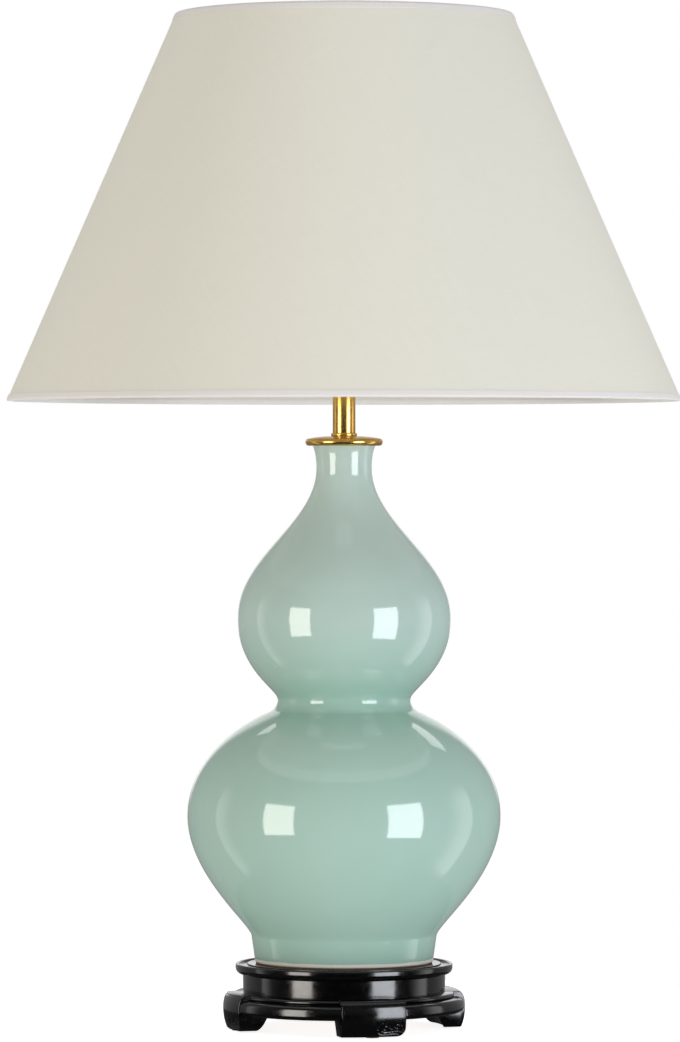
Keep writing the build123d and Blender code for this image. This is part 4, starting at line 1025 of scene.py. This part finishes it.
# CAD pieces that keep their shape
dressed = {
    "bottom_plate": boardFinish, "cord_inlet_bush": plasticFinish, "threaded_rod": zincFinish,
    "rod_washer": zincFinish, "rod_lock_washer": zincFinish, "rod_nut": zincFinish,
    "rod_end_bush": plasticFinish, "neck_plug": beechFinish, "holder_dome": brassFinish,
    "holder_skirt": brassFinish, "holder_insert": porcelainFinish, "holder_terminal_screws": brassFinish,
    "holder_contact": nickelFinish, "holder_screw_shell": nickelFinish, "switch_bar": plasticFinish,
    "carrier_clamp_ring": brassFinish, "bulb_contact": solderFinish, "bulb_insulator": vitriteFinish,
    "bulb_glass": glassFinish, "bulb_stem": glassFinish, "bulb_filaments": phosphorFinish,
    "carrier_washer": wireFinish, "carrier_arms": wireFinish, "carrier_gallery": wireFinish,
    "shade_top_wire": wireFinish, "shade_bottom_wire": wireFinish, "shade_fitter_ring": wireFinish,
    "shade_arms": wireFinish,
}
for node, finish in dressed.items():
    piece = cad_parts[node]
    if not piece.material_slots:
        piece.data.materials.append(finish)
    for holder in piece.material_slots:
        holder.material = finish
print("CAD pieces finished:", len(dressed))

# studio

studio = {
    "tableR": 0.42, "tableZ": -0.0003,       # m
    "paper": "#e6e6e6", "paperLift": 0.88,   # the camera sees the table nearly as white as the room
    "darkR": 0.2, "dark": 0.05,              # what gloss sees of it near the lamp, m and strength
    # bearing in degrees from the camera's side, colour, W
    "softboxes": [("leftSoftbox", -48, "#fff6e8", 14.8), ("rightSoftbox", 45.5, "#eff5ff", 24.8)],
    "away": 2.3, "height": 0.2, "width": 0.92, "tall": 1.4, "aimZ": 0.40,   # m
    "fromBelow": 0.78, "fromAbove": 0.48,    # light of the white table and of the room on the object
}
for name, bearing, colour, power in studio["softboxes"]:
    light = bpy.data.lights.new(name, "AREA")
    light.shape = "RECTANGLE"
    light.size, light.size_y = studio["width"], studio["tall"]
    light.color = hexToLinear(colour)[:3]
    light.energy = power
    box = bpy.data.objects.new(name, light)
    scene.collection.objects.link(box)
    angle = facing + radians(bearing)
    box.location = (sin(angle) * studio["away"], -cos(angle) * studio["away"], studio["height"])
    aim = Vector((0, 0, studio["aimZ"])) - box.location
    box.rotation_euler = aim.to_track_quat("-Z", "Y").to_euler()
    box.visible_camera = False
    box.visible_glossy = False
    box.visible_transmission = False


def addStage(name, mesh, finish):
    data = bpy.data.meshes.new(name)
    mesh.to_mesh(data)
    mesh.free()
    data.materials.append(finish)
    piece = bpy.data.objects.new(name, data)
    scene.collection.objects.link(piece)
    return piece


# table top: white paper to the camera, except where the lamp shades it; gloss sees it dark near the lamp,
# as the lacquer does in the picture; from below nothing is hidden
tableFinish = bpy.data.materials.new("whitePaper")
tree = blankTree(tableFinish)


def eitherShader(share, first, second):
    return addNode(tree, "ShaderNodeMixShader", {0: share, 1: first, 2: second}).outputs[0]


path = addNode(tree, "ShaderNodeLightPath").outputs
paper = addNode(tree, "ShaderNodeBsdfDiffuse", {"Color": hexToLinear(studio["paper"])})
lift, lit, dark = (addNode(tree, "ShaderNodeEmission", {"Strength": studio[key]}).outputs[0]
                   for key in ("paperLift", "fromBelow", "dark"))
lifted = addNode(tree, "ShaderNodeAddShader", {0: paper.outputs[0], 1: lift}).outputs[0]
clear = addNode(tree, "ShaderNodeBsdfTransparent").outputs[0]
away = addNode(tree, "ShaderNodeVectorMath", {0: addNode(tree, "ShaderNodeTexCoord").outputs["Object"]},
               operation="LENGTH")
beyond = calc(tree, "GREATER_THAN", away.outputs["Value"], studio["darkR"])
above = eitherShader(path["Is Glossy Ray"], eitherShader(path["Is Camera Ray"], lit, lifted),
                     eitherShader(beyond, dark, clear))
behind = addNode(tree, "ShaderNodeNewGeometry").outputs["Backfacing"]
addNode(tree, "ShaderNodeOutputMaterial", {"Surface": eitherShader(behind, above, clear)})
mesh = bmesh.new()
bmesh.ops.create_circle(mesh, cap_ends=True, segments=96, radius=studio["tableR"])
table = addStage("tableTop", mesh, tableFinish)
table.location.z = studio["tableZ"]

# what gloss and metal see round the lamp, on a drum; its lengths are in metres
surround = {
    "radius": 2.2, "low": -2.2, "high": 2.6, "segments": 96,
    # strength of the dim rest, and the heights between which it changes
    "below": 0.01, "above": 0.12, "turnLow": -0.15, "turnHigh": 0.25,
    # where a panel starts and ends, in degrees from the camera's side, then its heights in metres, each as
    # the two ends of a soft edge; its strength; its side, or 0 for both; its colour
    "panels": [
        # the two windows
        ((35.5, 37), (59, 60.5), (-0.48, -0.42), (0.84, 0.96), 10.0, -1, "#fbf6ee"),
        ((31, 32.5), (58, 59.5), (-0.63, -0.57), (0.86, 0.98), 11.0, 1, "#f4f8ff"),
        # bright bands at the sides
        ((88, 103), (105, 107), (-1.9, -1.5), (0.6, 1.3), 1.1, -1, "#ffffff"),
        ((78, 100), (105.5, 108), (-1.9, -1.5), (0.6, 1.3), 1.6, 1, "#ffffff"),
        # the room from the sides to the back, and a white wall straight behind
        ((66, 100), (181, 182), (-2.4, -2.3), (2.7, 2.8), 0.24, 0, "#ffffff"),
        ((156, 165), (181, 182), (0.08, 0.24), (1.1, 1.6), 0.9, 0, "#ffffff"),
        # two high lights behind
        ((146, 148), (157, 159), (1.85, 1.95), (2.3, 2.4), 2.0, -1, "#ffffff"),
        ((132, 134), (157, 159), (1.8, 1.9), (2.3, 2.4), 2.4, 1, "#ffffff"),
    ],
}
drumFinish = bpy.data.materials.new("roomSeenInGloss")
tree = blankTree(drumFinish)
spot = addNode(tree, "ShaderNodeTexCoord").outputs["Object"]
spot = addNode(tree, "ShaderNodeSeparateXYZ", {0: spot}).outputs
bearing = calc(tree, "ARCTAN2", calc(tree, "ABSOLUTE", spot[0]), calc(tree, "MULTIPLY", spot[1], -1.0))
total = ranged(tree, spot[2], surround["turnLow"], surround["turnHigh"], surround["below"], surround["above"])
for start, end, bottom, top, strength, side, colour in surround["panels"]:
    edges = [(bearing, radians(start[0]), radians(start[1]), 0.0, 1.0),
             (bearing, radians(end[0]), radians(end[1]), 1.0, 0.0),
             (spot[2], *bottom, 0.0, 1.0), (spot[2], *top, 1.0, 0.0)]
    if side:
        edges.append((spot[0], -0.01, 0.01, 0.5 - side / 2, 0.5 + side / 2))
    mask = strength
    for edge in edges:
        mask = calc(tree, "MULTIPLY", mask, ranged(tree, *edge, interpolation_type="SMOOTHSTEP"))
    tint = addNode(tree, "ShaderNodeVectorMath", {0: hexToLinear(colour)[:3], "Scale": mask},
                   operation="SCALE")
    total = addNode(tree, "ShaderNodeVectorMath", {0: total, 1: tint.outputs[0]}, operation="ADD").outputs[0]
addNode(tree, "ShaderNodeOutputMaterial",
        {"Surface": addNode(tree, "ShaderNodeEmission", {"Color": total}).outputs[0]})
drumFinish.cycles.emission_sampling = "NONE"
mesh = bmesh.new()
columns = []
for n in range(surround["segments"]):
    angle = 2 * pi * n / surround["segments"]
    columns.append([mesh.verts.new((surround["radius"] * sin(angle), -surround["radius"] * cos(angle), z))
                    for z in (surround["low"], surround["high"])])
for a, c in zip(columns, columns[1:] + columns[:1]):
    mesh.faces.new((a[0], a[1], c[1], c[0]))
mesh.faces.new([column[0] for column in columns])
drum = addStage("roomReflection", mesh, drumFinish)
drum.rotation_euler.z = facing
for kind in ("camera", "diffuse", "transmission", "volume_scatter", "shadow"):
    setattr(drum, "visible_" + kind, False)

# the world: white to the camera, gloss and glass; on the object a softer light, brighter from below
world = bpy.data.worlds.new("whiteRoom")
scene.world = world
tree = blankTree(world)
path = addNode(tree, "ShaderNodeLightPath").outputs
shown = calc(tree, "MAXIMUM", calc(tree, "MAXIMUM", path["Is Camera Ray"], path["Is Glossy Ray"]),
             path["Is Transmission Ray"])
upward = addNode(tree, "ShaderNodeSeparateXYZ", {0: addNode(tree, "ShaderNodeTexCoord").outputs["Generated"]})
fill = ranged(tree, upward.outputs["Z"], -0.2, 0.2, studio["fromBelow"], studio["fromAbove"],
              interpolation_type="SMOOTHSTEP")
room = addNode(tree, "ShaderNodeBackground", {"Color": (1, 1, 1, 1),
                                              "Strength": ranged(tree, shown, 0.0, 1.0, fill, 1.0)})
addNode(tree, "ShaderNodeOutputWorld", {0: room.outputs[0]})
print("studio made")
